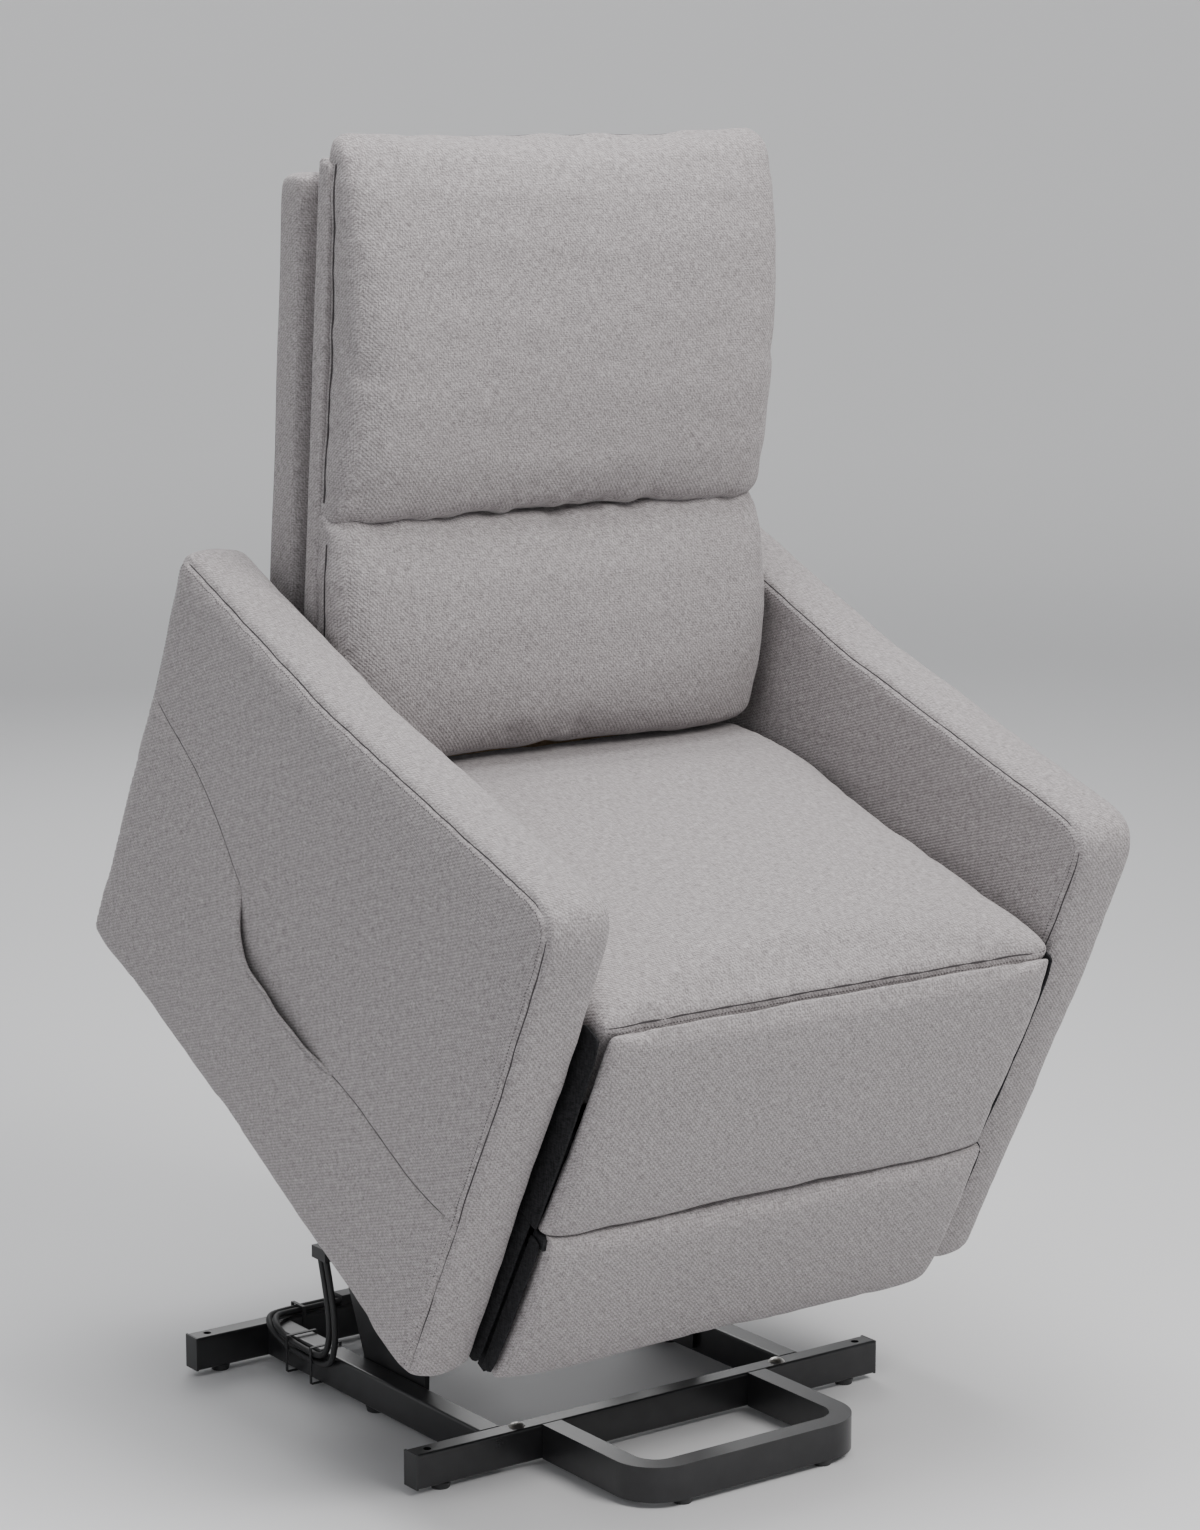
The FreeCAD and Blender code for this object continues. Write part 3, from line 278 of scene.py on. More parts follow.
MATERIALS = {
    "weave": weave_material("upholstery_weave", dark=(0.165, 0.151, 0.153), mid=(0.300, 0.278, 0.280),
                            light=(0.455, 0.428, 0.432)),
    "lining": lining_material(),
    "thread": hard_material("seam_thread", (0.075, 0.068, 0.070), 0.85, grain=1400),
    # Painted shade: the dark tubes laid along the seams stand in for the shadow in their grooves.
    "seam_shade": hard_material("seam_shadow", (0.045, 0.040, 0.042), 0.95, grain=900),
    # The lighter edge colour of the powder coat is a painted highlight on its sharp edges.
    "paint": hard_material("black_powder_coat", (0.0060, 0.0060, 0.0065), 0.30, grain=520, grit=0.12,
                           painted_edge_highlight=(0.022, 0.022, 0.024), coat=0.10),
    "zinc": hard_material("zinc_plate", (0.52, 0.51, 0.48), 0.34, 1.0, grain=420, grit=0.2),
    "spring": hard_material("spring_wire", (0.24, 0.24, 0.25), 0.38, 1.0, grain=500),
    "plastic": hard_material("black_plastic", (0.022, 0.022, 0.023), 0.52, grain=900, grit=0.16),
    "rubber": hard_material("lead_sheath", (0.016, 0.016, 0.017), 0.58, grain=700, grit=0.12),
    "tube": hard_material("motor_tube", (0.36, 0.36, 0.37), 0.38, 1.0, grain=380, grit=0.14),
    "shaft": hard_material("motor_shaft", (0.62, 0.62, 0.63), 0.18, 1.0, grain=700, grit=0.08),
    "handset": hard_material("handset_shell", (0.030, 0.030, 0.033), 0.48, grain=1100, grit=0.14),
    "button": hard_material("button_grey", (0.36, 0.37, 0.38), 0.5, grain=1100, grit=0.1),
    "wood": wood_material(),
}
SLOT_MATERIAL = {
    "frame_paint": "paint", "pivot_steel": "zinc", "black_plastic": "plastic", "lead_rubber": "rubber",
    "motor_tube": "tube", "motor_shaft": "shaft", "frame_wood": "wood", "upholstery": "weave",
    "black_lining": "lining", "handset_shell": "handset", "button_grey": "button",
}


def dress_frame():
    """Every CAD node gets its slot's material, and edges that catch the light."""
    for entry in frame["record"]["subparts"]:
        node = frame["nodes"][entry["node"]]
        key = "spring" if entry["node"] == "seat_springs" else SLOT_MATERIAL[entry["material_slot"]]
        node.data.materials.clear()
        node.data.materials.append(MATERIALS[key])


# ---------------------------------------------------------------- soft goods: building blocks

def outline_points(corners, radii, step):
    """A closed outline with rounded corners as evenly spaced points, first coordinate y and second z."""
    count = len(corners)
    raw = []
    for index in range(count):
        corner = Vector(corners[index])
        before = Vector(corners[index - 1]) - corner
        after = Vector(corners[(index + 1) % count]) - corner
        half = before.angle(after) / 2
        reach = min(radii[index] / math.tan(half), 0.49 * min(before.length, after.length))
        first, last = corner + before.normalized() * reach, corner + after.normalized() * reach
        for k in range(9):
            t = k / 8
            raw.append((1 - t) ** 2 * first + 2 * t * (1 - t) * corner + t * t * last)
    raw.append(raw[0])
    lengths = np.cumsum([0] + [(b - a).length for a, b in zip(raw, raw[1:])])
    total = lengths[-1]
    number = max(12, int(round(total / step)))
    stations = np.linspace(0, total, number, endpoint=False)
    y = np.interp(stations, lengths, [p.x for p in raw])
    z = np.interp(stations, lengths, [p.y for p in raw])
    return np.stack([y, z], 1)


def inset_outline(points, distance):
    """The outline moved inward (it runs clockwise or anticlockwise)."""
    ahead, behind = np.roll(points, -1, 0), np.roll(points, 1, 0)
    tangent = ahead - behind
    tangent /= np.linalg.norm(tangent, axis=1)[:, None]
    normal = np.stack([-tangent[:, 1], tangent[:, 0]], 1)
    area = 0.5 * np.sum(points[:, 0] * ahead[:, 1] - ahead[:, 0] * points[:, 1])
    return points + normal * distance * (1 if area > 0 else -1)


def mesh_object(name, points, faces, matrix=None, smooth=True):
    mesh = bpy.data.meshes.new(name)
    mesh.from_pydata([tuple(p) for p in points], [], faces)
    mesh.update()
    if matrix is not None:
        mesh.transform(matrix)
    mesh.polygons.foreach_set("use_smooth", [smooth] * len(mesh.polygons))
    obj = bpy.data.objects.new(name, mesh)
    scene.collection.objects.link(obj)
    return obj


def closed_rings(name, points, rows, count):
    """A closed solid from rows of equally long rings of points, with both ends filled."""
    faces = []
    for row in range(rows - 1):
        for i in range(count):
            j = (i + 1) % count
            faces.append((row * count + i, row * count + j, (row + 1) * count + j, (row + 1) * count + i))
    faces.append(tuple(range(count - 1, -1, -1)))
    faces.append(tuple((rows - 1) * count + i for i in range(count)))
    obj = mesh_object(name, points, faces)
    work = bmesh.new()
    work.from_mesh(obj.data)
    bmesh.ops.triangulate(work, faces=[f for f in work.faces if len(f.verts) > 4])
    bmesh.ops.recalc_face_normals(work, faces=work.faces)
    work.to_mesh(obj.data)
    work.free()
    return obj


def lofted(name, outline, stations):
    """A closed solid: rings of the outline at stations (x, inset)."""
    points = [(x, y, z) for x, inset in stations for y, z in inset_outline(outline, inset)]
    return closed_rings(name, points, len(stations), len(outline))


def apply_modifiers(obj):
    """Bakes the object's modifiers into its mesh."""
    bpy.context.view_layer.update()
    graph = bpy.context.evaluated_depsgraph_get()
    baked = bpy.data.meshes.new_from_object(obj.evaluated_get(graph))
    obj.modifiers.clear()
    old, obj.data = obj.data, baked
    bpy.data.meshes.remove(old)
    obj.data.name = obj.name


def coordinates(obj):
    values = np.empty(len(obj.data.vertices) * 3)
    obj.data.vertices.foreach_get("co", values)
    return values.reshape(-1, 3)


def set_coordinates(obj, values):
    obj.data.vertices.foreach_set("co", np.ascontiguousarray(values, dtype=np.float64).ravel())
    obj.data.update()


def normals(obj):
    values = np.empty(len(obj.data.vertices) * 3)
    obj.data.vertices.foreach_get("normal", values)
    return values.reshape(-1, 3)


def inflate(obj, pressure, cap, frames=14):
    """Cloth under inner pressure; each point moves at most cap from where it started."""
    start = coordinates(obj)
    cloth = obj.modifiers.new("cloth", "CLOTH")
    settings = cloth.settings
    settings.use_pressure = True
    settings.uniform_pressure_force = pressure
    settings.quality = 3
    settings.mass = 0.3
    settings.tension_stiffness = 18
    settings.compression_stiffness = 18
    settings.shear_stiffness = 8
    settings.bending_stiffness = 2.5
    settings.effector_weights.gravity = 0
    cloth.collision_settings.use_collision = False
    cloth.point_cache.frame_start, cloth.point_cache.frame_end = 1, frames
    for number in range(1, frames + 1):
        scene.frame_set(number)
    apply_modifiers(obj)
    scene.frame_set(1)
    moved = coordinates(obj) - start
    length = np.linalg.norm(moved, axis=1)
    limit = cap * np.tanh(length / cap) / np.maximum(length, 1e-9)
    set_coordinates(obj, start + moved * limit[:, None])


def soft_solid(obj, voxel, smoothing=3, pressure=0.0, cap=0.01, levels=1):
    """Remeshes a rough solid, inflates it as cloth if it has a pressure, and subdivides it."""
    remesh = obj.modifiers.new("remesh", "REMESH")
    remesh.mode = "VOXEL"
    remesh.voxel_size = voxel
    remesh.use_smooth_shade = True
    if smoothing:
        smooth = obj.modifiers.new("smooth", "SMOOTH")
        smooth.factor = 0.5
        smooth.iterations = smoothing
    apply_modifiers(obj)
    if pressure:
        inflate(obj, pressure, cap)
    divide = obj.modifiers.new("divide", "SUBSURF")
    divide.levels = divide.render_levels = levels
    apply_modifiers(obj)
    obj.data.polygons.foreach_set("use_smooth", [True] * len(obj.data.polygons))


def soft_noise(points, scale, seed):
    """Smooth repeatable noise from a sum of slanted waves, about -1 to 1."""
    rng = np.random.default_rng(seed)
    total = np.zeros(len(points))
    for _ in range(10):
        direction = rng.normal(size=3)
        direction *= rng.uniform(0.6, 1.5) / (scale * np.linalg.norm(direction))
        total += np.sin(points @ direction * 2 * math.pi + rng.uniform(0, 2 * math.pi))
    return total / 4.5


def polyline(points, step):
    """Points every step along a chain of points."""
    points = np.asarray(points, float)
    lengths = np.cumsum(np.r_[0, np.linalg.norm(np.diff(points, axis=0), axis=1)])
    stations = np.linspace(0, lengths[-1], max(2, int(lengths[-1] / step) + 1))
    return np.stack([np.interp(stations, lengths, points[:, k]) for k in range(3)], 1)


def smooth_line(points, step=0.004, rounds=3, closed=False):
    """A chain of points rounded by corner cutting, then spaced evenly."""
    points = np.asarray(points, float)
    for _ in range(rounds):
        ahead = np.roll(points, -1, 0) if closed else points[1:]
        here = points if closed else points[:-1]
        first, second = 0.75 * here + 0.25 * ahead, 0.25 * here + 0.75 * ahead
        cut = np.empty((2 * len(first), 3))
        cut[0::2], cut[1::2] = first, second
        points = cut if closed else np.vstack([points[:1], cut, points[-1:]])
    if closed:
        points = np.vstack([points, points[:1]])
    return polyline(points, step)


def nearest_on_line(points, line):
    """Distance from each point to a densely sampled line, and the place along it."""
    tree = KDTree(len(line))
    for index, place in enumerate(line):
        tree.insert(place, index)
    tree.balance()
    distance, along = np.empty(len(points)), np.empty(len(points))
    for index, point in enumerate(points):
        found = tree.find(point)
        distance[index], along[index] = found[2], found[1]
    step = np.linalg.norm(line[1] - line[0])
    return distance, along * step


def crease(obj, line, depth, width, pucker=0.0, wave=0.03, reach=0.03, seed=1):
    """Pulls the cover in along a seam, with small puckers that run off it."""
    points, normal = coordinates(obj), normals(obj)
    low, high = line.min(0) - 3 * reach, line.max(0) + 3 * reach
    near = np.all((points > low) & (points < high), axis=1)
    distance, along = nearest_on_line(points[near], line)
    pull = depth * np.exp(-(distance / width) ** 2)
    if pucker:
        rng = np.random.default_rng(seed)
        ripple = np.zeros(len(along))
        for _ in range(5):
            ripple += np.sin(along / (wave * rng.uniform(0.6, 1.7)) * 2 * math.pi + rng.uniform(0, 6.3))
        pull += pucker * ripple / 3 * np.exp(-distance / reach) * (1 - np.exp(-(distance / 0.004) ** 2))
    moved = points.copy()
    moved[near] -= normal[near] * pull[:, None]
    set_coordinates(obj, moved)


def dent(obj, centre, radius, depth, direction):
    """A soft hollow along a direction."""
    points = coordinates(obj)
    scale = np.exp(-np.sum(((points - np.array(centre)) / np.array(radius)) ** 2, axis=1))
    set_coordinates(obj, points + np.array(direction)[None, :] * (depth * scale)[:, None])


def pressed(obj, low=None, high=None, axis=2, where=None):
    """Flattens the cover where it rests on something, at a low or high limit along an axis."""
    points = coordinates(obj)
    held = np.ones(len(points), bool) if where is None else where(points)
    values = np.clip(points[:, axis], -9 if low is None else low, 9 if high is None else high)
    points[held, axis] = values[held]
    set_coordinates(obj, points)


def ripple(obj, scale, height, seed):
    """Low uneven waves over the whole cover."""
    points, normal = coordinates(obj), normals(obj)
    set_coordinates(obj, points + normal * (height * soft_noise(points, scale, seed))[:, None])


def weave_uv(obj):
    """A UV map in metres: each face is laid flat along the axis that it faces most."""
    mesh = obj.data
    layer = mesh.uv_layers.get("weave") or mesh.uv_layers.new(name="weave")
    count = len(mesh.loops)
    face_normal = np.empty(len(mesh.polygons) * 3)
    mesh.polygons.foreach_get("normal", face_normal)
    totals = np.empty(len(mesh.polygons), dtype=np.int32)
    mesh.polygons.foreach_get("loop_total", totals)
    vertex = np.empty(count, dtype=np.int32)
    mesh.loops.foreach_get("vertex_index", vertex)
    face = np.repeat(np.arange(len(totals)), totals)
    major = np.abs(face_normal.reshape(-1, 3)) * np.array([1.0, 1.1, 0.9])
    axis = np.argmax(major, axis=1)[face]
    points = coordinates(obj)[vertex]
    first = np.where(axis == 0, points[:, 1], points[:, 0])
    second = np.where(axis == 2, points[:, 1], points[:, 2])
    layer.data.foreach_set("uv", np.stack([first, second], 1).ravel())


def finish_piece(obj, matrix, body, material, replaced=()):
    """Lays the weave, moves the piece from its local frame to the row frame and fixes it to its body."""
    weave_uv(obj)
    obj.data.materials.clear()
    obj.data.materials.append(MATERIALS[material])
    obj.data.transform(matrix)
    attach(obj, body)
    if replaced:
        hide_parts(*replaced)
    return obj


def surface_tree(obj):
    """A search tree over the object's faces."""
    mesh = obj.data
    return BVHTree.FromPolygons([tuple(v.co) for v in mesh.vertices], [tuple(p.vertices) for p in mesh.polygons])


def project_line(obj, line, lift=0.0):
    """The line's points moved to the nearest place on a mesh, and the surface normals there."""
    tree = surface_tree(obj)
    places, facing = [], []
    for point in line:
        place, normal, _, _ = tree.find_nearest(Vector(point))
        places.append(np.array(place + normal * lift))
        facing.append(np.array(normal))
    return np.array(places), np.array(facing)


def evened(places, reach=4):
    """A projected line with its small steps averaged away; its ends stay."""
    padded = np.vstack([places[:1]] * reach + [places] + [places[-1:]] * reach)
    return np.stack([padded[k:k + len(places)] for k in range(2 * reach + 1)]).mean(0)


def tube_mesh(points, facing, radius, flat=1.0, sides=6, cyclic=False):
    """Points and faces of a thin tube along a line on a surface."""
    points = np.asarray(points)
    ahead = np.roll(points, -1, 0) - np.roll(points, 1, 0)
    if not cyclic:
        ahead[0], ahead[-1] = points[1] - points[0], points[-1] - points[-2]
    ahead /= np.maximum(np.linalg.norm(ahead, axis=1), 1e-9)[:, None]
    side = np.cross(ahead, facing)
    side /= np.maximum(np.linalg.norm(side, axis=1), 1e-9)[:, None]
    out = np.cross(side, ahead)
    verts, faces, count = [], [], len(points)
    for i in range(count):
        for k in range(sides):
            a = 2 * math.pi * k / sides
            verts.append(points[i] + side[i] * radius * math.cos(a) + out[i] * radius * flat * math.sin(a))
    for i in range(count - (0 if cyclic else 1)):
        j = (i + 1) % count
        for k in range(sides):
            n = (k + 1) % sides
            faces.append((i * sides + k, i * sides + n, j * sides + n, j * sides + k))
    if not cyclic:
        faces.append(tuple(range(sides - 1, -1, -1)))
        faces.append(tuple((count - 1) * sides + k for k in range(sides)))
    return verts, faces


def seam_line(name, obj, line, matrix, body, radius=0.0009, sink=-0.0003, material="seam_shade"):
    """The line where two panels meet, a dark tube that paints the shade in the seam's groove, or a rolled hem."""
    places, facing = project_line(obj, line, lift=sink)
    places = evened(places)
    verts, faces = tube_mesh(places, facing, radius, 0.8)
    piece = mesh_object(name, verts, faces)
    return finish_piece(piece, matrix, body, material)


def stitches(name, obj, line, matrix, body, pitch=0.0045, length=0.0031, radius=0.00048):
    """A row of separate stitches that lie on the cover."""
    fine = polyline(line, 0.0008)
    places, facing = project_line(obj, fine, lift=0.0002)
    verts, faces = [], []
    per, run = int(pitch / 0.0008), max(2, int(length / 0.0008))
    for start in range(0, len(places) - run, per):
        part = slice(start, start + run)
        piece_points, piece_faces = tube_mesh(places[part], facing[part], radius, 0.8, sides=5)
        offset = len(verts)
        verts += piece_points
        faces += [tuple(i + offset for i in f) for f in piece_faces]
    piece = mesh_object(name, verts, faces)
    return finish_piece(piece, matrix, body, "thread")


def offset_line(line, facing, distance):
    """A line moved sideways over its surface."""
    ahead = np.gradient(line, axis=0)
    side = np.cross(ahead, facing)
    side /= np.maximum(np.linalg.norm(side, axis=1), 1e-9)[:, None]
    return line + side * distance


# ---------------------------------------------------------------- arms

ARM_CORNERS = [(-5.0, 5.5), (2.5, 380), (14.6, 601.5), (440, 535), (755, 510.5), (740.5, 339), (730, 4.5),
               (400, 13)]
ARM_RADII = [16, 300, 52, 420, 22, 300, 14, 600]
ARM_INNER_FACE, ARM_OUTER_FACE = 0.2916, 0.3766
POCKET_EDGE = [(742, 339), (700, 334), (635, 325), (585, 310), (540, 295), (508, 280), (480, 267)]
POCKET_LIP = [(480, 267), (470, 249), (456, 232), (442, 219), (424, 211), (394, 208), (342, 206), (295, 203),
              (251, 205)]
POCKET_FRONT = [(251, 205), (225, 209), (190, 210), (140, 209), (88, 209), (40, 214), (3, 220)]


def mm(values):
    return np.asarray(values, float) / 1000


def arm_outline():
    return outline_points([tuple(v) for v in mm(ARM_CORNERS)], list(mm(ARM_RADII)), 0.007)


def side_seam(outline, x, inset):
    """A seam that follows the arm's outline on one side."""
    ring = inset_outline(outline, inset)
    return np.column_stack([np.full(len(ring), x), ring])


def build_arm(label, side):
    """One arm: padded sides sewn to a crowned band all round."""
    outline = arm_outline()
    outer, inner = 0.3762, 0.2920
    stations = [(outer, 0.075), (outer - 0.0008, 0.045), (outer - 0.0024, 0.024), (outer - 0.0056, 0.0112),
                (outer - 0.0095, 0.0076), (outer - 0.020, 0.0040), (0.334, 0.0018), (inner + 0.018, 0.0040),
                (inner + 0.008, 0.0072), (inner + 0.0025, 0.0105), (inner + 0.0006, 0.018), (inner, 0.045)]
    arm = lofted(f"arm_cover_{label}", outline, [(side * x, inset) for x, inset in stations])
    soft_solid(arm, 0.0058)
    ring = list(range(len(outline))) + [0]
    outer_seam = polyline(side_seam(outline, side * (outer - 0.0055), 0.0100)[ring], 0.003)
    inner_seam = polyline(side_seam(outline, side * (inner + 0.002), 0.0100)[ring], 0.003)
    ripple(arm, 0.16, 0.0011, 11 + side)
    ripple(arm, 0.05, 0.0004, 15 + side)
    for line, seed in ((outer_seam, 3), (inner_seam, 4)):
        crease(arm, line, 0.0026, 0.0045, pucker=0.0003, wave=0.045, reach=0.02, seed=seed)
    low, high = sorted((side * ARM_INNER_FACE, side * ARM_OUTER_FACE))
    pressed(arm, low, high, axis=0)
    for part, line, sign in (("outer", outer_seam, 1), ("inner", inner_seam, -1)):
        seam_line(f"arm_seam_{part}_{label}", arm, line, CHAIR, "chair")
        places, facing = project_line(arm, line)
        top = offset_line(places, facing, 0.0055 * sign * side)
        stitches(f"arm_stitches_{part}_{label}", arm, top, CHAIR, "chair")
    return arm


def panel(name, boundary, step, height, thickness):
    """A sheet over a closed boundary in the y-z plane; height(y, z) gives its distance from the middle."""
    boundary = np.asarray(boundary)
    low, high = boundary.min(0), boundary.max(0)
    edges = [(i, (i + 1) % len(boundary)) for i in range(len(boundary))]
    inner = []
    for row, z in enumerate(np.arange(low[1] + step, high[1], step * 0.87)):
        for y in np.arange(low[0] + step * (0.5 if row % 2 else 1.0), high[0], step):
            inner.append((y, z))
    inner = np.array(inner)
    keep = inside(inner, boundary) & (edge_distance(inner, boundary) > step * 0.6)
    points = [Vector(p) for p in np.vstack([boundary, inner[keep]])]
    flat, _, faces, _, _, _ = geometry.delaunay_2d_cdt(points, edges, [], 1, 1e-6)
    flat = np.array([tuple(p) for p in flat])
    x = height(flat)
    obj = mesh_object(name, np.column_stack([x, flat]), [tuple(f) for f in faces])
    solid = obj.modifiers.new("solid", "SOLIDIFY")
    solid.thickness = thickness
    solid.offset = 0
    apply_modifiers(obj)
    work = bmesh.new()
    work.from_mesh(obj.data)
    bmesh.ops.recalc_face_normals(work, faces=work.faces)
    work.to_mesh(obj.data)
    work.free()
    return obj


def inside(points, boundary):
    """Which points lie within a closed boundary."""
    result = np.zeros(len(points), bool)
    for (y1, z1), (y2, z2) in zip(boundary, np.roll(boundary, -1, 0)):
        spans = (z1 > points[:, 1]) != (z2 > points[:, 1])
        with np.errstate(divide="ignore", invalid="ignore"):
            crossing = (y2 - y1) * (points[:, 1] - z1) / (z2 - z1) + y1
        result ^= spans & (points[:, 0] < crossing)
    return result


def chain_distance(points, chain):
    """Distance from each point to an open chain."""
    best = np.full(len(points), 9.0)
    for first, last in zip(chain[:-1], chain[1:]):
        along = last - first
        t = np.clip(((points - first) @ along) / max(along @ along, 1e-12), 0, 1)
        best = np.minimum(best, np.linalg.norm(points - (first + t[:, None] * along), axis=1))
    return best


def edge_distance(points, boundary):
    """Distance from each point to a closed boundary."""
    return chain_distance(points, np.vstack([boundary, boundary[:1]]))


def plane_line(points):
    """A smooth line in the y-z plane."""
    flat = np.column_stack([np.zeros(len(points)), mm(points)])
    return smooth_line(flat, 0.006)[:, 1:]


def hollow_for_handset(arm):
    """The slot behind the left pocket that the hand control lies in."""
    slot_y, slot_z, half_depth, half_height, slot_floor = 0.152, 0.248, 0.034, 0.153, 0.3475

    def in_slot(points):
        within = (np.abs(points[:, 1] - slot_y) < half_depth) & (np.abs(points[:, 2] - slot_z) < half_height)
        return within & (points[:, 0] > 0.34)

    pressed(arm, high=slot_floor, axis=0, where=in_slot)


def build_pocket(label, side, arm):
    """The lower side layer: sewn along its upper edge and the arm's seam, open at the sagging lip."""
    ring = inset_outline(arm_outline(), 0.0125)
    rear, lip, front = plane_line(POCKET_EDGE), plane_line(POCKET_LIP), plane_line(POCKET_FRONT)
    start = np.argmin(np.linalg.norm(ring - rear[0], axis=1))
    end = np.argmin(np.linalg.norm(ring - front[-1], axis=1))
    one_way = np.array([ring[(end - k) % len(ring)] for k in range((end - start) % len(ring) + 1)])
    other_way = np.array([ring[(end + k) % len(ring)] for k in range((start - end) % len(ring) + 1)])
    lower = min((one_way, other_way), key=lambda part: part[:, 1].mean())
    rear[0], front[-1] = lower[-1] + (rear[1] - lower[-1]) * 0.3, lower[0] + (front[-2] - lower[0]) * 0.3
    boundary = np.vstack([rear, lip[1:], front[1:], lower])
    tree = surface_tree(arm)

    def height(flat):
        under = [tree.ray_cast(Vector((side * 0.6, y, z)), Vector((-side, 0, 0)))[0] for y, z in flat]
        x = np.array([abs(place.x) if place else 0.370 for place in under])
        edge = edge_distance(flat, boundary)
        mouth = chain_distance(flat, lip)
        sewn = np.minimum(chain_distance(flat, rear), chain_distance(flat, front))
        slack = 1 - np.exp(-(sewn / 0.040) ** 2)
        x += -0.0006 + 0.0026 * (1 - np.exp(-edge / 0.012))
        free = slack * (1 - np.exp(-edge / 0.02) * (mouth > 0.02))
        x += (0.0012 + 0.0090 * np.exp(-(mouth / 0.030) ** 2)) * free
        x += 0.0012 * np.exp(-mouth / 0.05) * slack * np.sin(flat[:, 0] * 95 + flat[:, 1] * 60)
        return side * x

    pocket = panel(f"pocket_cover_{label}", boundary, 0.006, height, 0.0022)
    lines = {}
    for key, chain in (("rear", rear), ("front", front), ("lip", lip)):
        flat = np.column_stack([np.zeros(len(chain)), chain])
        lines[key] = polyline(flat, 0.003)
        lines[key][:, 0] = height(lines[key][:, 1:])
        ahead = np.gradient(lines[key][:, 1:], axis=0)
        ahead /= np.linalg.norm(ahead, axis=1)[:, None]
        down = np.column_stack([np.zeros(len(ahead)), ahead[:, 1], -ahead[:, 0]])
        down *= np.where(down[:, 2:] > 0, -1, 1)
        row = lines[key] + down * (0.0055 if key == "lip" else 0.0035)
        stitches(f"pocket_stitches_{key}_{label}", pocket, row, CHAIR, "chair")
    for key in ("rear", "front"):
        seam_line(f"pocket_seam_{key}_{label}", pocket, lines[key], CHAIR, "chair", radius=0.0011, sink=0.0006)
    seam_line(f"pocket_hem_{label}", pocket, lines["lip"], CHAIR, "chair", radius=0.0021, sink=0.0,
              material="weave")
    finish_piece(pocket, CHAIR, "chair", "weave", (f"side_pocket_{label}",))


# ---------------------------------------------------------------- cushions

# Half widths that the seat and the pillows may reach beside the arms, in metres. The seat runs on under the lower
# pillow, so its rear part stays below one height in the back's frame, and the pillow's underside above another.
SEAT_REACH, PILLOW_REACH = 0.2905, 0.2895
SEAT_UNDER_BACK, PILLOW_REST = 0.5440, 0.5472

def section_solid(name, half_width, profile_ring, columns=44):
    """A closed solid whose section at x is profile_ring(s), with s from -1 to 1 across the width."""
    places = np.linspace(-1, 1, columns + 1)
    places = np.sign(places) * (1 - (1 - np.abs(places)) ** 1.5)
    rings = [(half_width * s, profile_ring(s)) for s in places]
    count = len(rings[0][1])
    points = [(x, y, z) for x, ring in rings for y, z in ring]
    return closed_rings(name, points, len(rings), count)


def shoulder(s, power=5.0):
    """1 over most of the width and falling to 0 at the sides."""
    return (1 - abs(s) ** power) ** (1 / 2.2)


def resample(points, count):
    """A closed chain spaced evenly with the given number of points."""
    loop = np.vstack([points, points[:1]])
    lengths = np.cumsum(np.r_[0, np.linalg.norm(np.diff(loop, axis=0), axis=1)])
    stations = np.linspace(0, lengths[-1], count, endpoint=False)
    return np.stack([np.interp(stations, lengths, loop[:, k]) for k in range(2)], 1)


def across(half, places):
    """A line across the chair; places(t) gives y and z at t from -1 to 1."""
    return polyline(np.array([(half * t, *places(t)) for t in np.linspace(-1, 1, 60)]), 0.003)


def build_seat():
    """Seat top: high and crowned at the front, lower beside the arms, and running on under the back cushion."""
    centre = mm([(-5, 462), (10, 471), (60, 477), (130, 473), (200, 462), (300, 441), (400, 417), (436, 402),
                 (470, 388), (510, 371), (548, 354)])
    edge = mm([(-5, 460), (14, 461), (60, 446), (130, 428), (200, 414), (300, 396), (400, 380), (436, 373),
               (470, 366), (507, 357), (548, 346)])
    rest = mm([(553, 338), (552, 326), (400, 324), (250, 324), (120, 324), (30, 324), (17, 330), (15, 380),
               (8, 425), (-3, 450)])

    def ring(s):
        w = shoulder(s, 4.2)
        return resample(np.vstack([edge * (1 - w) + centre * w, rest]), 120)

    seat = section_solid("seat_cover", 0.2885, ring)
    soft_solid(seat, 0.0085, 2, 3.2, 0.010, levels=2)
    ripple(seat, 0.15, 0.0013, 31)
    ripple(seat, 0.05, 0.0004, 32)
    pressed(seat, -SEAT_REACH, SEAT_REACH, axis=0)
    points = coordinates(seat)
    lean_y, lean_z = math.sin(BACK_LEAN), math.cos(BACK_LEAN)
    under_back = SEAT_UNDER_BACK - (lean_y * points[:, 1] + lean_z * points[:, 2])
    points[:, 2] += np.where(points[:, 1] > 0.43, np.minimum(under_back, 0), 0)
    set_coordinates(seat, points)
    front_seam = across(0.284, lambda t: (-0.005, 0.4605))
    crease(seat, front_seam, 0.0035, 0.005, pucker=0.0010, wave=0.045, reach=0.03, seed=5)
    seam_line("seat_front_seam", seat, front_seam, CHAIR, "chair", radius=0.0010)
    places, facing = project_line(seat, front_seam)
    stitches("seat_front_stitches", seat, offset_line(places, facing, 0.006), CHAIR, "chair")
    finish_piece(seat, CHAIR, "chair", "weave", ("seat_cushion",))


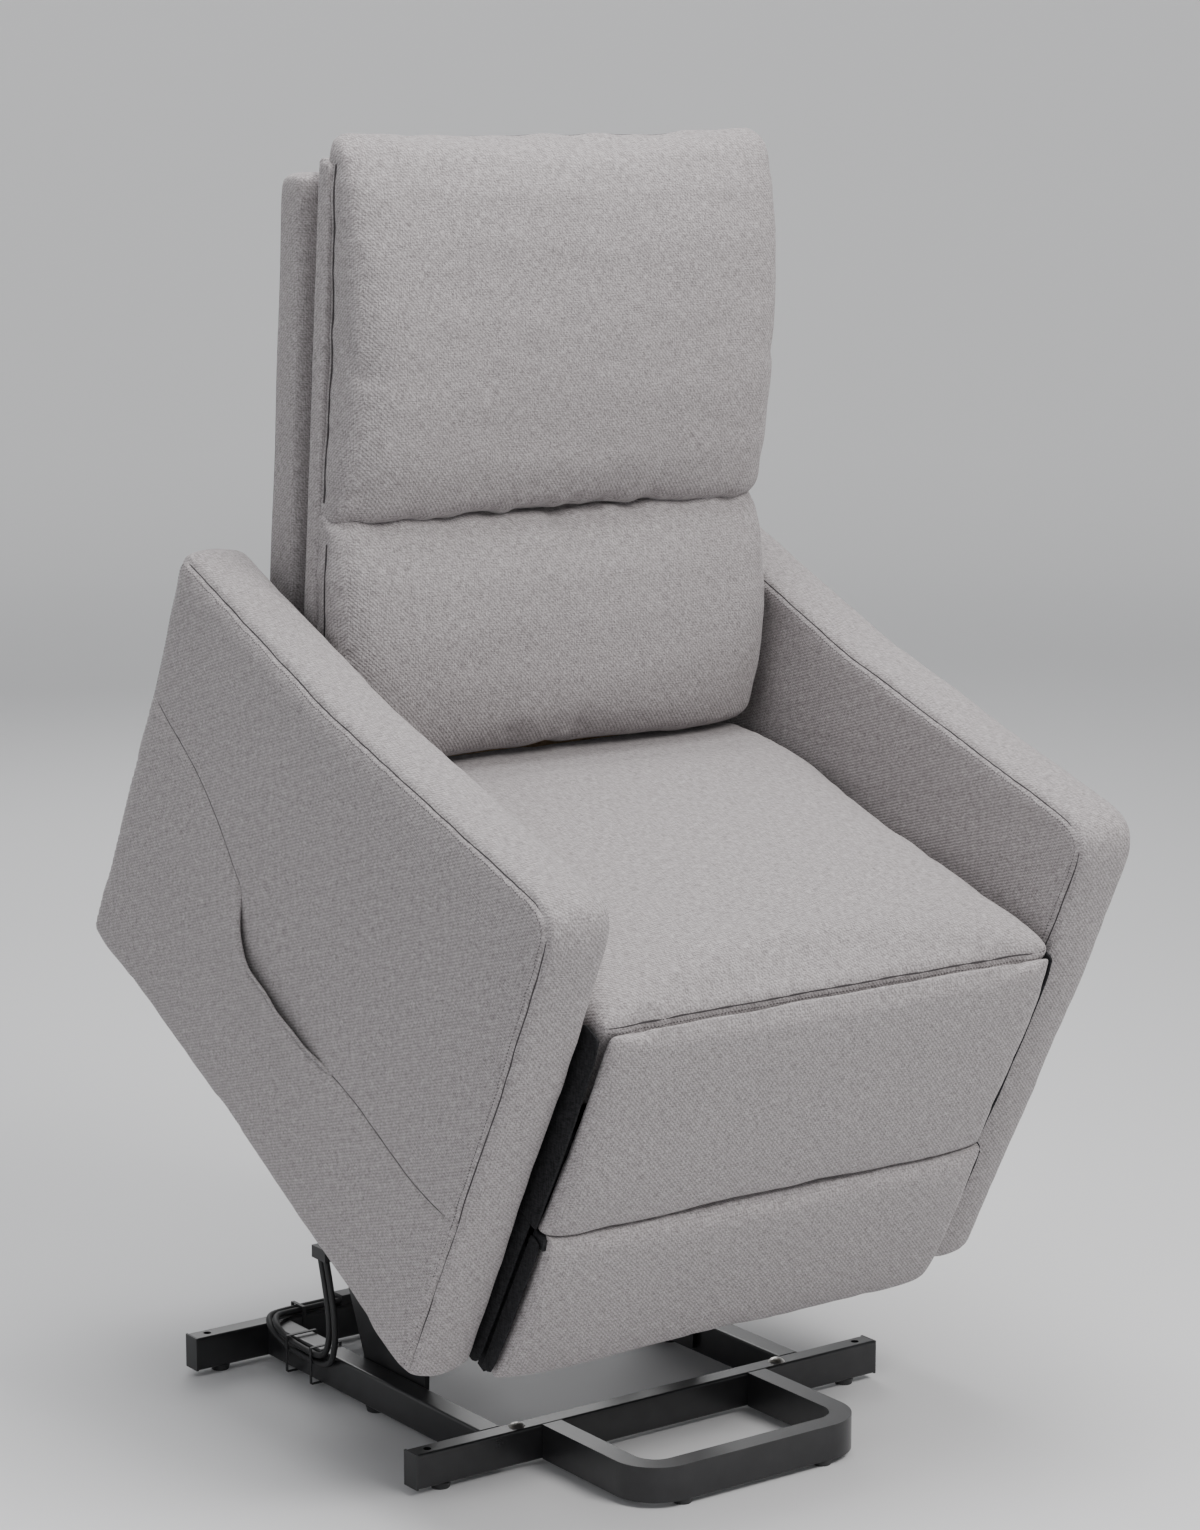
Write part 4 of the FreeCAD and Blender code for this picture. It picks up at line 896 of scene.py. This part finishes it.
def build_front_panel():
    """The puffed panel under the seat's front edge."""
    outer = mm([(-5, 468), (-13, 448), (-19, 405), (-22, 350), (-24, 300), (-25, 255), (-25, 225), (-24, 200)])
    flatter = mm([(-4, 466), (-10, 446), (-13, 405), (-15, 350), (-16, 300), (-17, 258), (-17, 228),
                  (-16, 200)])
    inner = mm([(-3, 200), (-2.5, 260), (-2.5, 320), (-2.5, 400), (0, 462)])

    def ring(s):
        w = shoulder(s, 6)
        return resample(np.vstack([flatter * (1 - w) + outer * w, inner]), 90)

    front = section_solid("seat_front_cover", 0.2865, ring)
    soft_solid(front, 0.0070, 2, 2.8, 0.006)
    ripple(front, 0.13, 0.0010, 41)
    lower = across(0.280, lambda t: (-0.024, 0.214))
    crease(front, lower, 0.0008, 0.006, pucker=0.0012, wave=0.07, reach=0.03, seed=14)
    pressed(front, low=0.2108)
    pressed(front, -0.2866, 0.2866, axis=0)
    finish_piece(front, CHAIR, "chair", "weave", ("seat_front_panel",))
    build_board("front_lining", [(-2, 209.5), (1, 209.5), (1, 330), (-2, 330)], 0.6, -0.2860, 0.2860,
                CHAIR, "chair", "lining")
    for label, side in SIDES:
        build_board(f"front_side_lining_{label}",
                    [(24, 450), (-3, 450), (-7, 430), (-9, 400), (-11, 350), (-12, 300), (-12, 213), (24, 213)], 2,
                    side * 0.2869, side * 0.2902, CHAIR, "chair", "lining")
        build_board(f"arm_lining_{label}", [(-3, 214), (-3, 26), (4, 16), (90, 16), (90, 214)], 2,
                    side * 0.2882, side * 0.2906, CHAIR, "chair", "lining")


def build_pillow(name, half, middle, side, power, seed, corner=0.0):
    """A stuffed pillow with a boxed edge: its section runs from side at the ends to middle.

    corner is the radius of its two upper corners, seen from the front.
    """
    middle, side = mm(middle), mm(side)
    top = middle[:, 1].max()

    def ring(s):
        w = shoulder(s, power)
        section = side * (1 - w) + middle * w
        inward = max(0.0, corner - half * (1 - abs(s)))
        section[:, 1] = np.minimum(section[:, 1], top - corner + math.sqrt(corner ** 2 - inward ** 2))
        return resample(section, 150)

    pillow = section_solid(name, half, ring)
    soft_solid(pillow, 0.0085, 2, 3.4, 0.010, levels=2)
    ripple(pillow, 0.17, 0.0020, seed)
    ripple(pillow, 0.06, 0.0006, seed + 1)
    return pillow


def build_back():
    """Upper and lower pillows with boxed sides, the band and core behind them, and the outside cover."""
    lower = build_pillow(
        "back_pillow_lower", 0.2815,
        [(386, 549), (350, 547), (322, 549), (303, 560), (292, 590), (287, 640), (289, 700), (298, 752),
         (314, 792), (338, 813), (362, 820), (386, 820)],
        [(386, 553), (366, 552), (352, 556), (345, 575), (341, 620), (340, 680), (344, 730), (348, 780),
         (353, 806), (363, 820), (376, 820), (386, 820)], 8, 51)
    upper = build_pillow(
        "back_pillow_upper", 0.2800,
        [(386, 800), (362, 799), (338, 801), (317, 817), (302, 862), (296, 935), (299, 1020), (309, 1095),
         (324, 1150), (342, 1186), (358, 1203), (374, 1211), (386, 1212)],
        [(386, 800), (372, 799), (358, 803), (352, 826), (352, 890), (352, 960), (353, 1030), (354, 1110),
         (357, 1165), (362, 1192), (372, 1204), (380, 1208), (386, 1208)], 9, 61, corner=0.026)
    fold = across(0.272, lambda t: (0.340, 0.8095))
    crease(lower, fold, 0.001, 0.010, pucker=0.0030, wave=0.046, reach=0.035, seed=6)
    crease(upper, fold, 0.001, 0.010, pucker=0.0026, wave=0.056, reach=0.040, seed=7)
    top = across(0.252, lambda t: (0.378, 1.206 - 0.003 * t ** 4))
    crease(upper, top, 0.0030, 0.006, pucker=0.0020, wave=0.07, reach=0.035, seed=12)
    side_seams = (("lower", lower, 0.347, 0.575, 0.790), ("upper", upper, 0.359, 0.825, 1.178))
    for label, side in SIDES:
        for name, pillow, place, low, high in side_seams:
            line = polyline(np.array([(side * 0.281, place, z) for z in np.linspace(low, high, 40)]), 0.003)
            crease(pillow, line, 0.003, 0.006, pucker=0.0012, wave=0.05, reach=0.03, seed=8 + side)
            seam_line(f"pillow_seam_{name}_{label}", pillow, line, BACK, "back", radius=0.0011, sink=0.0004)
    seam_line("pillow_seam_top", upper, top, BACK, "back", radius=0.0009)
    pressed(lower, low=PILLOW_REST)
    for pillow, node in ((lower, "back_cushion_lower"), (upper, "back_cushion_upper")):
        pressed(pillow, -PILLOW_REACH, PILLOW_REACH, axis=0)
        finish_piece(pillow, BACK, "back", "weave", (node,))
    for label, side in SIDES:
        build_board(f"back_band_{label}", [(364, 556), (386, 556), (386, 1176), (364, 1176)], 8, side * 0.2665,
                    side * 0.2796, BACK, "back")
    build_board("back_core_cover", [(380, 560), (432, 560), (442, 1172), (380, 1172)], 6, -0.2440, 0.2440,
                BACK, "back")
    outline = outline_points([tuple(v) for v in mm([(423, 563), (483, 563), (483, 1152), (437, 1157)])],
                             list(mm([6, 12, 22, 8])), 0.007)
    half = 0.2690
    stations = [(half, 0.014), (half - 0.001, 0.006), (half - 0.005, 0.0015), (half - 0.014, 0.0)]
    stations += [(x, 0.0) for x in np.linspace(0.2, -0.2, 9)]
    stations += [(-x, inset) for x, inset in stations[3::-1]]
    shell = lofted("back_outside_cover", outline, stations)
    soft_solid(shell, 0.0065, 2)
    ripple(shell, 0.2, 0.0012, 71)
    for label, side in SIDES:
        line = polyline(np.array([(side * 0.2685, 0.4775, z) for z in np.linspace(0.575, 1.142, 60)]), 0.003)
        crease(shell, line, 0.002, 0.005, pucker=0.0004, reach=0.02, seed=9)
        seam_line(f"back_seam_{label}", shell, line, BACK, "back")
    finish_piece(shell, BACK, "back", "weave", ("back_panel",))


def build_board(name, corners, radius, first, last, matrix, body, material="weave"):
    """A cloth-covered board or strip between two places across the chair, with softened edges."""
    outline = outline_points([tuple(v) for v in mm(corners)], [radius / 1000] * len(corners), 0.006)
    low, high = sorted((first, last))
    soft = min(0.004, (high - low) / 3, radius / 2000)
    stations = [(low, soft), (low + soft * 0.4, soft * 0.25), (low + soft, 0.0), (high - soft, 0.0),
                (high - soft * 0.4, soft * 0.25), (high, soft)]
    board = lofted(name, outline, stations)
    ripple(board, 0.08, 0.0003, 93)
    return finish_piece(board, matrix, body, material)


def build_footrest():
    """The folded footrest's panel, rounded under its lower edge."""
    middle = mm([(-7, 10), (-18, 8), (-27, 12), (-33, 24), (-36, 50), (-36.5, 100), (-36, 150), (-34, 185),
                 (-30, 205), (-25, 218), (-10, 218), (-7, 186)])
    side = mm([(-7, 12), (-15, 11), (-21, 16), (-24, 28), (-27, 54), (-28, 100), (-28, 150), (-28, 182),
               (-27, 203), (-23, 218), (-10, 218), (-7, 184)])

    def ring(s):
        w = shoulder(s, 5)
        return resample(side * (1 - w) + middle * w, 80)

    pad = section_solid("footrest_cover", 0.2825, ring)
    soft_solid(pad, 0.0065, 2, 2.8, 0.006)
    ripple(pad, 0.14, 0.0011, 81)
    top = across(0.275, lambda t: (-0.030, 0.2045))
    crease(pad, top, 0.0012, 0.006, pucker=0.0012, wave=0.06, reach=0.03, seed=13)
    pressed(pad, high=0.2075)
    pressed(pad, -0.2848, 0.2848, axis=0)
    for label, sign in SIDES:
        dent(pad, (sign * 0.280, -0.024, 0.205), (0.007, 0.012, 0.012), 0.006, (0, -0.5, 0.45))
    finish_piece(pad, CHAIR, "footrest_board", "weave", ("footrest_pad",))
    for label, sign in SIDES:
        build_board(f"footrest_side_lining_{label}",
                    [(-6, 18), (-20, 22), (-23, 40), (-24, 100), (-24, 180), (-22, 200), (-6, 202)], 2,
                    sign * 0.2849, sign * 0.2872, CHAIR, "footrest_board", "lining")
    build_board("footrest_top_lining", [(-26, 194), (-5, 194), (-5, 207.4), (-22, 207.4)], 1, -0.2835, 0.2835,
                CHAIR, "footrest_board", "lining")


def build_valance():
    """The panel between the arms behind the mechanism."""
    outline = outline_points([tuple(v) for v in mm([(701, 22), (715, 22), (715, 248), (701, 248)])],
                             list(mm([4, 5, 6, 4])), 0.005)
    half = 0.2875
    stations = [(half, 0.004), (half - 0.002, 0.001)] + [(x, 0.0) for x in np.linspace(0.28, -0.28, 15)]
    stations += [(-half + 0.002, 0.001), (-half, 0.004)]
    valance = lofted("rear_valance_cover", outline, stations)
    soft_solid(valance, 0.0045, 1)
    ripple(valance, 0.12, 0.0008, 91)
    finish_piece(valance, CHAIR, "chair", "weave", ("rear_valance",))


# ---------------------------------------------------------------- the whole chair

add_camera()
add_stage()
dress_frame()
for label, side in SIDES:
    cover = build_arm(label, side)
    build_pocket(label, side, cover)
    if side > 0:
        hollow_for_handset(cover)
    finish_piece(cover, CHAIR, "chair", "weave", (f"arm_pad_{label}",))
build_seat()
build_front_panel()
build_back()
build_footrest()
build_valance()
